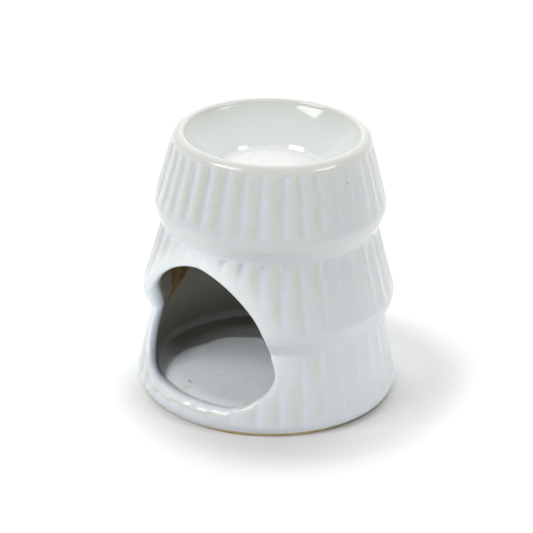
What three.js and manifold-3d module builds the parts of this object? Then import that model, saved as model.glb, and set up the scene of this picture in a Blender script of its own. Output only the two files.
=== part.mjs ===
// Oil burner in white glazed stoneware, shaped as a tree of three fluted tiers.
// A tealight stands on the chamber floor behind an arched door, and warms the dish on top.
// Units are millimetres. +Z is up, the foot stands on Z = 0 and the door faces -Y.

import * as THREE from 'three';
import { mergeVertices } from 'three/addons/utils/BufferGeometryUtils.js';
import Module from 'manifold-3d';

const wasm = await Module();
wasm.setup();

// Heights of the stacked pieces, each measured from the seat of the piece below.
const FOOT_HEIGHT = 1.5;
const LOWER_TIER_HEIGHT = 30;
const MIDDLE_TIER_HEIGHT = 34.7;
const TOP_TIER_HEIGHT = 35.2;

// Outer radii: at each tier's widest edge, and at the neck where the next tier sits. The
// foot bevels in under the lowest edge.
const FOOT_INSET = 2.6;
const LOWER_SEAT_INSET = 1.1;
const LOWER_EDGE_RADIUS = 49;
const LOWER_NECK_RADIUS = 43.7;
const MIDDLE_EDGE_RADIUS = 47.2;
const MIDDLE_NECK_RADIUS = 40.1;
const TOP_EDGE_RADIUS = 43.1;
const CREST_RADIUS = 33.5;

// Rolled lower edges: height of the roll's centre above the tier's seat, and its radius.
const LOWER_EDGE_RISE = 2.8;
const LOWER_EDGE_ROUND = 2.8;
const MIDDLE_EDGE_RISE = 8.2;
const TOP_EDGE_RISE = 8.1;
const EDGE_ROUND = 5;
const SHOULDER_ROUND = 3.5;

// Flutes run down all three tiers in line, and fade out on the rolls and below the shoulder.
const FLUTES = 34;
const FLUTE_DEPTH = 0.9;
const FLUTE_FADE = 3.5;
const SHOULDER_FADE = 4;

// Walls, and the stepped joint that seats one tier on the next.
const WALL = 5.2;
const SPIGOT_HEIGHT = 2;
const JOINT_GAP = 0.3;

// Dish: a bowl that drops into the mouth of the top tier and rests on a ledge there. Round
// its flat floor runs a ring that rises a little, and its wall is steeper above a bend.
const DISH_DEPTH = 15;
const DISH_FLOOR_RADIUS = 19;
const DISH_RING_WIDTH = 4.2;
const DISH_RING_RISE = 0.9;
const BOWL_FOOT_SLOPE = THREE.MathUtils.degToRad(50);
const BOWL_BEND_RADIUS = 30;
const DISH_BASE_THICKNESS = 5;
const DISH_BASE_ROUND = 5;
const LIP_WIDTH = 1.3;
const LIP_DROP = 1.5;
const SEAT_RISE = 2;
const LEDGE_WIDTH = 2.5;
const LEDGE_THICKNESS = 4;

// Chamber floor and the ring of bare clay under it.
const FLOOR_THICKNESS = 3;
const FLOOR_LEDGE_HEIGHT = 1.5;
const FLOOR_LEDGE_WIDTH = 3.5;
const FOOT_COLLAR_WALL = 1.5;

// Arched door: a flat sill with round corners, upright sides and a slightly pointed arch.
// The lintel is what is left of the middle tier above it, and the arch springs part of
// the way up the door.
const DOOR_HALF_WIDTH = 31;
const SILL_RISE = 2.2;
const LINTEL_HEIGHT = 6.2;
const ARCH_START = 0.43;
const ARCH_POWER = 1.7;
const DOOR_CORNER_WIDTH = 18;
const DOOR_CORNER_HEIGHT = 14.5;

// Fineness of the faceted solids.
const COLUMNS_PER_FLUTE = 5;
const ROUND_COLUMNS = 72;
const ROLL_STEPS = 2;
const SHOULDER_STEPS = 3;
const BOWL_STEPS = 6;
const ARCH_STEPS = 10;
const CORNER_STEPS = 5;
const OVERCUT = 1;
const WELD = 1e-4;

// Levels that follow from the stack.
const LOWER_SEAT = FOOT_HEIGHT;
const MIDDLE_SEAT = LOWER_SEAT + LOWER_TIER_HEIGHT;
const TOP_SEAT = MIDDLE_SEAT + MIDDLE_TIER_HEIGHT;
const CREST = TOP_SEAT + TOP_TIER_HEIGHT;
const FLOOR_SEAT = LOWER_SEAT + FLOOR_LEDGE_HEIGHT;
const FLOOR_TOP = FLOOR_SEAT + FLOOR_THICKNESS;
const DISH_FLOOR = CREST - DISH_DEPTH;
const DISH_SEAT = DISH_FLOOR + SEAT_RISE;
const DOOR_SILL = FLOOR_TOP + SILL_RISE;
const DOOR_TOP = TOP_SEAT - LINTEL_HEIGHT;
const ARCH_SPRING = DOOR_SILL + (DOOR_TOP - DOOR_SILL) * ARCH_START;

// Radii that follow: the lower tier's seat on the foot, the bore round the chamber floor,
// the widest edge, and the spigot's wall, which takes half of what the flutes and the gap
// leave of the tier's wall.
const LOWER_SEAT_RADIUS = LOWER_EDGE_RADIUS - LOWER_SEAT_INSET;
const FLOOR_BORE = LOWER_EDGE_RADIUS - WALL;
const WIDEST_RADIUS = Math.max(LOWER_EDGE_RADIUS, MIDDLE_EDGE_RADIUS, TOP_EDGE_RADIUS);
const SPIGOT_WALL = (WALL - FLUTE_DEPTH - JOINT_GAP) / 2;

const glaze = new THREE.MeshStandardMaterial({ color: 0xe3e4e2, roughness: 0.25, metalness: 0 });
const dishGlaze = new THREE.MeshStandardMaterial({ color: 0xecedec, roughness: 0.15, metalness: 0 });
const floorGlaze = new THREE.MeshStandardMaterial({ color: 0xd9dad8, roughness: 0.35, metalness: 0 });
const bareClay = new THREE.MeshStandardMaterial({ color: 0xb9a67c, roughness: 0.9, metalness: 0 });

// A closed mesh with shared vertices and no collapsed triangles, as a solid.
function toSolid(geometry) {
  geometry.deleteAttribute('normal');
  geometry.deleteAttribute('uv');
  const welded = mergeVertices(geometry, WELD);
  const index = Array.from(welded.index.array);
  const triangles = [];
  for (let i = 0; i < index.length; i += 3) {
    const [a, b, c] = index.slice(i, i + 3);
    if (a !== b && b !== c && c !== a) {
      triangles.push(a, b, c);
    }
  }
  return new wasm.Manifold(new wasm.Mesh({
    numProp: 3,
    vertProperties: new Float32Array(welded.attributes.position.array),
    triVerts: new Uint32Array(triangles),
  }));
}

function toGeometry(solid) {
  const mesh = solid.getMesh();
  const geometry = new THREE.BufferGeometry();
  geometry.setAttribute('position', new THREE.BufferAttribute(mesh.vertProperties, 3));
  geometry.setIndex(new THREE.BufferAttribute(mesh.triVerts, 1));
  geometry.computeVertexNormals();
  return geometry;
}

// An outline of [radius, height] points turned about Z. Each column's azimuth starts at -Y.
// share(height) says how deep the flutes are there, from 0 to 1. Points on the axis stay.
function turned(outline, columns, share = () => 0) {
  const points = outline.map(([r, z]) => new THREE.Vector2(r, z));
  const geometry = new THREE.LatheGeometry(points, columns);
  geometry.rotateX(Math.PI / 2);
  const position = geometry.attributes.position;
  for (let i = 0; i < position.count; i += 1) {
    const [r, z] = outline[i % outline.length];
    const azimuth = (2 * Math.PI * Math.floor(i / outline.length)) / columns;
    const depth = r > 0 ? share(z) * FLUTE_DEPTH : 0;
    const radius = r - depth * 0.5 * (1 - Math.cos(FLUTES * azimuth));
    position.setXYZ(i, radius * Math.sin(azimuth), -radius * Math.cos(azimuth), z);
  }
  return toSolid(geometry);
}

// Angle of the outward normal of the straight line that touches two circles on their
// outer side, going up. A circle of radius zero is a corner.
function touchAngle(a, b) {
  const dr = b.r - a.r;
  const dz = b.z - a.z;
  return Math.atan2(dz, dr) - Math.acos((a.round - b.round) / Math.hypot(dr, dz));
}

function onCircle(circle, angle) {
  return [circle.r + circle.round * Math.cos(angle), circle.z + circle.round * Math.sin(angle)];
}

function arc(circle, from, to, steps) {
  const points = [];
  for (let i = 0; i <= steps; i += 1) {
    points.push(onCircle(circle, from + ((to - from) * i) / steps));
  }
  return points;
}

// The point at a height on the straight line between two points.
function atHeight([r0, z0], [r1, z1], z) {
  return [r0 + ((r1 - r0) * (z - z0)) / (z1 - z0), z];
}

// The flutes start at the roll's widest point, and reach their full depth a little higher.
function risingShare(roll) {
  return (z) => THREE.MathUtils.clamp((z - roll.z) / FLUTE_FADE, 0, 1);
}

// Outside of a skirt: out from its seat, round the rolled edge, and up the flank to the
// neck, with a point on the flank where the flutes reach their full depth.
function skirtOutline(seat, roll, neck) {
  const under = touchAngle(seat, roll);
  const flank = touchAngle(roll, neck);
  const rolled = arc(roll, under, flank, ROLL_STEPS);
  const top = onCircle(neck, flank);
  const full = atHeight(rolled[rolled.length - 1], top, roll.z + FLUTE_FADE);
  return [[seat.r, seat.z], ...rolled, full, top];
}

// A solid of revolution between an outline and the axis.
function toAxis(outline) {
  return [[0, outline[0][1]], ...outline, [0, outline[outline.length - 1][1]]];
}

// The upstanding ring that the tier above drops over.
function spigot(neckRadius, level) {
  const inner = neckRadius - WALL;
  const outer = inner + SPIGOT_WALL;
  return turned(toAxis([[outer, level - OVERCUT], [outer, level + SPIGOT_HEIGHT]]), ROUND_COLUMNS);
}

// The recess under a tier that fits over that ring, and the inner wall above it.
function rebate(neckRadius, level) {
  const inner = neckRadius - WALL;
  const recess = inner + SPIGOT_WALL + JOINT_GAP;
  const roof = level + SPIGOT_HEIGHT + JOINT_GAP;
  return [[recess, level - OVERCUT], [recess, roof], [inner, roof]];
}

// Half-width of the door at a height above the arch's springing line.
function archHalfWidth(z) {
  const rise = (z - ARCH_SPRING) / (DOOR_TOP - ARCH_SPRING);
  return DOOR_HALF_WIDTH * (1 - rise ** ARCH_POWER) ** (1 / ARCH_POWER);
}

// Right side of the door, from the sill's middle up to the crown.
function doorSide() {
  const centre = [DOOR_HALF_WIDTH - DOOR_CORNER_WIDTH, DOOR_SILL + DOOR_CORNER_HEIGHT];
  const side = [];
  for (let i = 0; i <= CORNER_STEPS; i += 1) {
    const turn = (Math.PI / 2) * (i / CORNER_STEPS);
    side.push([
      centre[0] + DOOR_CORNER_WIDTH * Math.sin(turn),
      centre[1] - DOOR_CORNER_HEIGHT * Math.cos(turn),
    ]);
  }
  for (let i = 0; i < ARCH_STEPS; i += 1) {
    const turn = (Math.PI / 2) * (i / ARCH_STEPS);
    const z = ARCH_SPRING + (DOOR_TOP - ARCH_SPRING) * Math.sin(turn);
    side.push([archHalfWidth(z), z]);
  }
  return side;
}

// The block that is cut out of the front wall for the door.
function doorCutter() {
  const right = doorSide();
  const left = right.map(([x, z]) => [-x, z]).reverse();
  const corners = [...right, [0, DOOR_TOP], ...left];
  const shape = new THREE.Shape(corners.map(([x, z]) => new THREE.Vector2(x, z)));
  const reach = WIDEST_RADIUS + OVERCUT;
  const geometry = new THREE.ExtrudeGeometry(shape, { depth: reach, bevelEnabled: false });
  geometry.rotateX(Math.PI / 2);
  return toSolid(geometry);
}

function lowerTier(door) {
  const seat = { r: LOWER_SEAT_RADIUS, z: LOWER_SEAT, round: 0 };
  const roll = {
    r: LOWER_EDGE_RADIUS - LOWER_EDGE_ROUND,
    z: LOWER_SEAT + LOWER_EDGE_RISE,
    round: LOWER_EDGE_ROUND,
  };
  const neck = { r: LOWER_NECK_RADIUS, z: MIDDLE_SEAT, round: 0 };
  const outside = turned(
    toAxis(skirtOutline(seat, roll, neck)),
    FLUTES * COLUMNS_PER_FLUTE,
    risingShare(roll),
  );
  // The bore round the chamber floor stays upright up to the door's sill.
  const ledge = FLOOR_BORE - FLOOR_LEDGE_WIDTH;
  const neckBore = LOWER_NECK_RADIUS - WALL;
  const inside = turned(toAxis([
    [ledge, LOWER_SEAT - OVERCUT],
    [ledge, FLOOR_SEAT],
    [FLOOR_BORE, FLOOR_SEAT],
    [FLOOR_BORE, DOOR_SILL],
    [neckBore, MIDDLE_SEAT],
    [neckBore, MIDDLE_SEAT + SPIGOT_HEIGHT + OVERCUT],
  ]), ROUND_COLUMNS);
  return outside.add(spigot(LOWER_NECK_RADIUS, MIDDLE_SEAT)).subtract(inside).subtract(door);
}

function middleTier(door) {
  const seat = { r: LOWER_NECK_RADIUS, z: MIDDLE_SEAT, round: 0 };
  const roll = {
    r: MIDDLE_EDGE_RADIUS - EDGE_ROUND,
    z: MIDDLE_SEAT + MIDDLE_EDGE_RISE,
    round: EDGE_ROUND,
  };
  const neck = { r: MIDDLE_NECK_RADIUS, z: TOP_SEAT, round: 0 };
  const outside = turned(
    toAxis(skirtOutline(seat, roll, neck)),
    FLUTES * COLUMNS_PER_FLUTE,
    risingShare(roll),
  );
  const neckBore = MIDDLE_NECK_RADIUS - WALL;
  const inside = turned(toAxis([
    ...rebate(LOWER_NECK_RADIUS, MIDDLE_SEAT),
    [MIDDLE_EDGE_RADIUS - WALL, roll.z],
    [neckBore, TOP_SEAT],
    [neckBore, TOP_SEAT + SPIGOT_HEIGHT + OVERCUT],
  ]), ROUND_COLUMNS);
  return outside.add(spigot(MIDDLE_NECK_RADIUS, TOP_SEAT)).subtract(inside).subtract(door);
}

function topTier() {
  const seat = { r: MIDDLE_NECK_RADIUS, z: TOP_SEAT, round: 0 };
  const roll = {
    r: TOP_EDGE_RADIUS - EDGE_ROUND,
    z: TOP_SEAT + TOP_EDGE_RISE,
    round: EDGE_ROUND,
  };
  const shoulder = { r: CREST_RADIUS, z: CREST - SHOULDER_ROUND, round: SHOULDER_ROUND };
  const skirt = skirtOutline(seat, roll, shoulder);
  const flankTop = skirt.pop();
  const fadeStart = atHeight(skirt[skirt.length - 1], flankTop, flankTop[1] - SHOULDER_FADE);
  const flank = touchAngle(roll, shoulder);
  const rounded = arc(shoulder, flank, Math.PI / 2, SHOULDER_STEPS);
  const rising = risingShare(roll);
  const falling = (z) => THREE.MathUtils.clamp((flankTop[1] - z) / SHOULDER_FADE, 0, 1);
  const outside = turned(
    toAxis([...skirt, fadeStart, ...rounded]),
    FLUTES * COLUMNS_PER_FLUTE,
    (z) => Math.min(rising(z), falling(z)),
  );
  const ledgeBore = CREST_RADIUS - LEDGE_WIDTH;
  const ledgeFoot = DISH_SEAT - LEDGE_THICKNESS;
  const inside = turned(toAxis([
    ...rebate(MIDDLE_NECK_RADIUS, TOP_SEAT),
    [TOP_EDGE_RADIUS - WALL, roll.z],
    [CREST_RADIUS, ledgeFoot - LEDGE_WIDTH],
    [ledgeBore, ledgeFoot],
    [ledgeBore, DISH_SEAT],
    [CREST_RADIUS, DISH_SEAT],
    [CREST_RADIUS, CREST + OVERCUT],
  ]), ROUND_COLUMNS);
  return outside.subtract(inside);
}

// Inside of the bowl, from the floor's edge out and up: the ring, a wall that bends once,
// and a lip that turns over to the crest.
function bowlOutline() {
  const lipRadius = CREST_RADIUS - JOINT_GAP;
  const foot = new THREE.Vector2(
    DISH_FLOOR_RADIUS + DISH_RING_WIDTH,
    DISH_FLOOR + DISH_RING_RISE,
  );
  const bend = new THREE.Vector2(
    BOWL_BEND_RADIUS,
    foot.y + (BOWL_BEND_RADIUS - foot.x) * Math.tan(BOWL_FOOT_SLOPE),
  );
  const head = new THREE.Vector2(lipRadius - LIP_WIDTH, CREST - LIP_DROP);
  const wall = new THREE.QuadraticBezierCurve(foot, bend, head).getPoints(BOWL_STEPS);
  const points = [[DISH_FLOOR_RADIUS, DISH_FLOOR], ...wall.map(({ x, y }) => [x, y])];
  for (let i = 1; i <= ROLL_STEPS; i += 1) {
    const turn = (Math.PI / 2) * (i / ROLL_STEPS);
    points.push([
      lipRadius - LIP_WIDTH * Math.cos(turn),
      CREST - LIP_DROP * (1 - Math.sin(turn)),
    ]);
  }
  return points;
}

function oilDish() {
  const body = CREST_RADIUS - LEDGE_WIDTH - JOINT_GAP;
  const lip = CREST_RADIUS - JOINT_GAP;
  const underside = DISH_FLOOR - DISH_BASE_THICKNESS;
  const round = Math.min(DISH_BASE_ROUND, DISH_SEAT - underside);
  const base = { r: body - round, z: underside + round, round };
  const outside = [
    ...arc(base, -Math.PI / 2, 0, ROLL_STEPS),
    [body, DISH_SEAT],
    [lip, DISH_SEAT],
  ];
  const inside = bowlOutline().reverse();
  return turned([[0, underside], ...outside, ...inside, [0, DISH_FLOOR]], ROUND_COLUMNS);
}

function chamberFloor() {
  const radius = FLOOR_BORE - JOINT_GAP;
  return turned(toAxis([[radius, FLOOR_SEAT], [radius, FLOOR_TOP]]), ROUND_COLUMNS);
}

// A flat ring with a bevelled rim, and a collar that centres it in the lower tier.
function footRing() {
  const collar = FLOOR_BORE - FLOOR_LEDGE_WIDTH - JOINT_GAP;
  const bore = collar - FOOT_COLLAR_WALL;
  const outside = turned(toAxis([
    [LOWER_EDGE_RADIUS - FOOT_INSET, 0],
    [LOWER_SEAT_RADIUS, FOOT_HEIGHT],
    [collar, FOOT_HEIGHT],
    [collar, FLOOR_SEAT - JOINT_GAP],
  ]), ROUND_COLUMNS);
  const inside = turned(toAxis([[bore, -OVERCUT], [bore, FLOOR_SEAT + OVERCUT]]), ROUND_COLUMNS);
  return outside.subtract(inside);
}

function piece(name, solid, material) {
  const mesh = new THREE.Mesh(toGeometry(solid), material);
  mesh.name = name;
  return mesh;
}

const door = doorCutter();
const burner = new THREE.Group();
burner.add(piece('foot_ring', footRing(), bareClay));
burner.add(piece('lower_tier', lowerTier(door), glaze));
burner.add(piece('chamber_floor', chamberFloor(), floorGlaze));
burner.add(piece('middle_tier', middleTier(door), glaze));
burner.add(piece('top_tier', topTier(), glaze));
burner.add(piece('oil_dish', oilDish(), dishGlaze));

export default burner;
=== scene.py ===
"""Looks of a small oil burner in white glazed stoneware, a tree of three fluted tiers.

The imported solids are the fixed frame. Each piece is a surface worked out with numpy in
millimetres from the same meridians, so that neighbouring pieces meet along their seams, and
it carries marks on its vertices that tell the glaze where it lies thin or pools.
"""

import logging
import math
from dataclasses import dataclass, field
from enum import Enum
from typing import Any, Callable, Sequence

import bmesh
import bpy
import numpy as np
from mathutils import Matrix, Vector


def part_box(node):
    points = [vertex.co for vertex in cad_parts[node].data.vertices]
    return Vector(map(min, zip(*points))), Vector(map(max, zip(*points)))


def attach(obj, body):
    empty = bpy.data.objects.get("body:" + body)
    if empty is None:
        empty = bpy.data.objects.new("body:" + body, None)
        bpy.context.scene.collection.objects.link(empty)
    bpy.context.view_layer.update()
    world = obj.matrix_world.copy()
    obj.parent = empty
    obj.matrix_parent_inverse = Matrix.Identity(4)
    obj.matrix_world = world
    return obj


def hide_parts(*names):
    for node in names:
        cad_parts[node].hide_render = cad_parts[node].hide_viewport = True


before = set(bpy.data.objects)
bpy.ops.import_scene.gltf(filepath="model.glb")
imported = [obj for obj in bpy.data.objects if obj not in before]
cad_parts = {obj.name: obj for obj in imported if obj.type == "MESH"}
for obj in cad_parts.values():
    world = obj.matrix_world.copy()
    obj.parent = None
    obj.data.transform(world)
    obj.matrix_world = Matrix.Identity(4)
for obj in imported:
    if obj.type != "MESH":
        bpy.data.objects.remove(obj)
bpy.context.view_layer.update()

LOG = logging.getLogger("oil_burner")

Array = np.ndarray
Surface = Callable[[Array, Array], Array]

MM = 0.001
TAU = 2.0 * math.pi
BODY = "root"

# Columns round a tier, and how many of them the door's block takes on either side.
COLUMNS = 544
DOOR_COLUMNS = 106

# How near vertices are welded, in metres, and from which angle an edge stays sharp.
WELD = 2e-6
SHARP_ANGLE = math.radians(48.0)

# Neighbouring pieces stop this far short of each other, in millimetres.
SEAM = 0.005

# The lower tier's bore round the chamber's floor, in millimetres.
FLOOR_SEAT_RADIUS = 43.45

# The light band on the rim: how far inside the crest its middle lies, and the share of the
# real distance that its edge mark takes, which makes it wider than the line at the door.
RIM_INSET = 0.3
RIM_SHARE = 0.3

# Marks that every vertex carries for the glaze: relief is 0 in a flute, 1 on a ridge and
# 0.5 on plain glaze; pool is 1 where glaze gathers; edge is the distance to the nearest
# rim or arris in millimetres, and below 0 on the door's inner side; inside is 1 in the
# chamber and on hidden faces, where the glazes paint a darker shade in place of the
# dimness there; bare is above 0 on bare clay.
MARKS = ("relief", "pool", "edge", "inside", "bare")
FAR_EDGE = 9.0
FAR_AWAY = 99.0
PLAIN = (0.5, 0.0, FAR_EDGE, 0.0, -FAR_EDGE)


class Slot(Enum):
    """Material slots of the record."""

    WHITE_GLAZE = "white_glaze"
    DISH_GLAZE = "dish_glaze"
    BARE_CLAY = "bare_clay"


# Outlines of the burner


def eased_steps(value: Array, levels: Sequence[float], shares: Sequence[float]) -> Array:
    """Joins shares at levels by smooth steps: between two levels it rises as 3t^2 - 2t^3.

    Args:
        value: Where the share is wanted.
        levels: Rising levels.
        shares: The share at each level.

    Returns:
        The share at each value, constant beyond the first and last level.
    """
    at = np.asarray(levels, float)
    to = np.asarray(shares, float)
    value = np.asarray(value, float)
    k = np.clip(np.searchsorted(at, value, side="right") - 1, 0, len(at) - 2)
    t = np.clip((value - at[k]) / (at[k + 1] - at[k]), 0.0, 1.0)
    return to[k] + (to[k + 1] - to[k]) * t * t * (3.0 - 2.0 * t)


def resampled(points: Array, step: float) -> Array:
    """Spaces a polyline's points evenly along its length.

    Args:
        points: Points in rows.
        step: Distance between the new points.

    Returns:
        New points that lie step apart on the polyline.
    """
    run = np.concatenate([[0.0], np.cumsum(np.linalg.norm(np.diff(points, axis=0), axis=1))])
    at = np.linspace(0.0, run[-1], max(2, int(round(run[-1] / step)) + 1))
    return np.stack([np.interp(at, run, points[:, k]) for k in range(points.shape[1])], axis=1)


def softened(points: Array, step: float, spread: float) -> Array:
    """Rounds a curve's corners: each point becomes the Gaussian mean of its neighbours.

    Args:
        points: Points step apart, whose ends run straight.
        step: Distance between the points.
        spread: The Gaussian's standard deviation.

    Returns:
        As many points on the softened curve.
    """
    reach = int(math.ceil(4.0 * spread / step))
    weights = np.exp(-0.5 * (np.arange(-reach, reach + 1) * step / spread) ** 2)
    weights /= weights.sum()
    head = points[0] - np.arange(reach, 0, -1)[:, None] * (points[1] - points[0])
    tail = points[-1] + np.arange(1, reach + 1)[:, None] * (points[-1] - points[-2])
    padded = np.concatenate([head, points, tail])
    return np.stack([np.convolve(padded[:, k], weights, "valid") for k in range(2)], axis=1)


def graded(points: Array, count: int, turn_weight: float) -> Array:
    """Picks rows on a curve, closer together where it turns.

    The share of rows on a stretch grows with its length plus turn_weight times the angle
    that the curve turns there.

    Args:
        points: Dense points on the curve.
        count: How many rows to pick.
        turn_weight: Length in millimetres that a turn of one radian counts for.

    Returns:
        count points, with the curve's two ends among them.
    """
    steps = np.diff(points, axis=0)
    lengths = np.linalg.norm(steps, axis=1)
    heading = np.unwrap(np.arctan2(steps[:, 1], steps[:, 0]))
    turn = np.abs(np.diff(heading, append=heading[-1]))
    run = np.concatenate([[0.0], np.cumsum(lengths + turn_weight * turn)])
    at = np.linspace(0.0, run[-1], count)
    return np.stack([np.interp(at, run, points[:, k]) for k in range(2)], axis=1)


@dataclass(frozen=True)
class Roll:
    """A circle in the meridian plane that the outline touches."""

    r: float
    z: float
    round: float

    def point(self, angle: Array) -> Array:
        """Points on the circle at angles from the outward horizontal.

        Args:
            angle: The angles in radians.

        Returns:
            Points of [radius, height].
        """
        return np.stack(
            [self.r + self.round * np.cos(angle), self.z + self.round * np.sin(angle)], axis=-1
        )

    @classmethod
    def above(cls, seat: float, shape: tuple[float, float, float]) -> "Roll":
        """A roll from its radius, its height above a seat and its roundness."""
        return cls(shape[0], seat + shape[1], shape[2])

    def touch_angle(self, above: "Roll") -> float:
        """Angle of the normal of the line that touches this circle and the one above."""
        dr, dz = above.r - self.r, above.z - self.z
        return math.atan2(dz, dr) - math.acos((self.round - above.round) / math.hypot(dr, dz))


@dataclass
class Outside:
    """The burner's outer meridian: from the foot's edge up over the crest into the dish.

    Lines that touch the rolled edges and the shoulder join the seats, as on the solids.
    Each tier's lower edge is a wide roll with a tighter bend under it. A lip and a wall
    with one bend lead down into the dish, and two small steps, rows of radius and height
    above the floor, lead to its floor. Both parts are softened by a Gaussian mean, the
    dish less than the outside. Below the foot's edge the line starts on its hem, which
    the lower tier leaves out.
    """

    foot: float
    middle_seat: float
    top_seat: float
    crest: float
    foot_radius: float = 47.9
    foot_hem: tuple[float, float] = (-0.6, -1.4)
    foot_roll: tuple[float, float, float] = (46.15, 2.8, 2.8)
    lower_neck: float = 43.7
    middle_bend: tuple[float, float, float] = (45.2, 5.7, 1.5)
    middle_roll: tuple[float, float, float] = (42.2, 8.6, 5.0)
    middle_neck: float = 40.1
    top_bend: tuple[float, float, float] = (41.1, 5.5, 1.5)
    top_roll: tuple[float, float, float] = (38.1, 8.5, 5.0)
    shoulder_round: float = 3.5
    crest_radius: float = 33.5
    lip_width: float = 1.3
    lip_drop: float = 1.5
    dish_depth: float = 15.0
    floor_steps: tuple[tuple[float, float], ...] = (
        (17.5, 0.0), (18.1, 0.3), (19.3, 0.4), (20.4, 2.1),
    )  # fmt: skip
    bend_radius: float = 29.5
    foot_slope: float = math.radians(38.7)
    step: float = 0.05
    spread: float = 0.4
    dish_spread: float = 0.16
    past_axis: float = -6.0
    curve: Array = field(init=False)
    crest_row: int = field(init=False)

    def __post_init__(self) -> None:
        """Draws and softens the curve's two parts, which meet at the crest."""
        parts = ((self.drawn(), self.spread), (self.bowl(), self.dish_spread))
        soft = [softened(resampled(rows, self.step), self.step, spread) for rows, spread in parts]
        for part, top in zip(soft, (soft[0][-1, 1], soft[1][0, 1])):
            part[:, 1] *= self.crest / top
        self.curve = np.concatenate([soft[0], soft[1][1:]])
        self.crest_row = len(soft[0]) - 1

    def chain(self) -> list[Roll]:
        """The circles and corners that the outline touches, from the foot to the shoulder.

        A roll's height is given above its tier's seat. A corner is a circle of radius 0.

        Returns:
            The rolls in rising order.
        """
        return [
            Roll(self.foot_radius, self.foot, 0.0),
            Roll.above(self.foot, self.foot_roll),
            Roll(self.lower_neck, self.middle_seat, 0.0),
            Roll.above(self.middle_seat, self.middle_bend),
            Roll.above(self.middle_seat, self.middle_roll),
            Roll(self.middle_neck, self.top_seat, 0.0),
            Roll.above(self.top_seat, self.top_bend),
            Roll.above(self.top_seat, self.top_roll),
            Roll(self.crest_radius, self.crest - self.shoulder_round, self.shoulder_round),
        ]

    def drawn(self) -> Array:
        """Corners and arcs of the outside before it is softened.

        Returns:
            Points of [radius, height], from just below the foot's edge up to the crest.
        """
        chain = self.chain()
        rows = [np.array([[chain[0].r + self.foot_hem[0], chain[0].z + self.foot_hem[1]]])]
        arrive = 0.0
        for below, above in zip(chain, chain[1:]):
            leave = below.touch_angle(above)
            if below.round > 0.0:
                rows.append(below.point(np.linspace(arrive, leave, 24)))
            else:
                rows.append(np.array([[below.r, below.z]]))
            arrive = leave
        rows.append(chain[-1].point(np.linspace(arrive, math.pi / 2, 40)))
        return np.concatenate(rows)

    def bowl(self) -> Array:
        """The lip and the bowl's wall and floor, from the crest down and in.

        The lip is a quarter of an ellipse, level at the crest. The wall is a quadratic
        Bezier curve that is steeper above its bend, and the steps lead from it to the floor.

        Returns:
            Points of [radius, height].
        """
        turn = np.linspace(0.0, math.pi / 2, 40)
        head = np.array([self.crest_radius - self.lip_width, self.crest - self.lip_drop])
        lip_r = self.crest_radius - self.lip_width * np.sin(turn)
        lip = np.stack([lip_r, head[1] + self.lip_drop * np.cos(turn)], axis=1)
        floor = self.crest - self.dish_depth
        steps = np.array(self.floor_steps[::-1]) + np.array([0.0, floor])
        rise = (self.bend_radius - steps[0, 0]) * math.tan(self.foot_slope)
        bend = np.array([self.bend_radius, steps[0, 1] + rise])
        t = np.linspace(0.0, 1.0, 60)[1:, None]
        wall = head * (1 - t) ** 2 + 2 * bend * t * (1 - t) + steps[0] * t**2
        end = [[self.past_axis, floor]]
        return np.concatenate([lip, wall, steps[1:], end])

    def flank(self) -> Array:
        """The part of the curve that is outside, up to the crest."""
        return self.curve[: self.crest_row + 1]

    def radius(self, z: Array) -> Array:
        """Outer radius at heights up to the crest, without the flutes."""
        flank = self.flank()
        return np.interp(z, flank[:, 1], flank[:, 0])

    def between(self, low: float, high: float) -> Array:
        """Dense points of the outer curve from one height to another, both included.

        Args:
            low: The lower height.
            high: The upper height.

        Returns:
            Points of [radius, height] in rising order.
        """
        flank = self.flank()
        rows = flank[(flank[:, 1] > low) & (flank[:, 1] < high)]
        ends = np.array([[self.radius(low), low], [self.radius(high), high]])
        return np.concatenate([ends[:1], rows, ends[1:]])

    def dish(self) -> Array:
        """Dense points from the crest in to the axis of the dish.

        Returns:
            Points of [radius, height].
        """
        rows = self.curve[self.crest_row :]
        rows = rows[rows[:, 0] > 0.0]
        return np.concatenate([rows, [[0.0, rows[-1, 1]]]])


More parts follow.
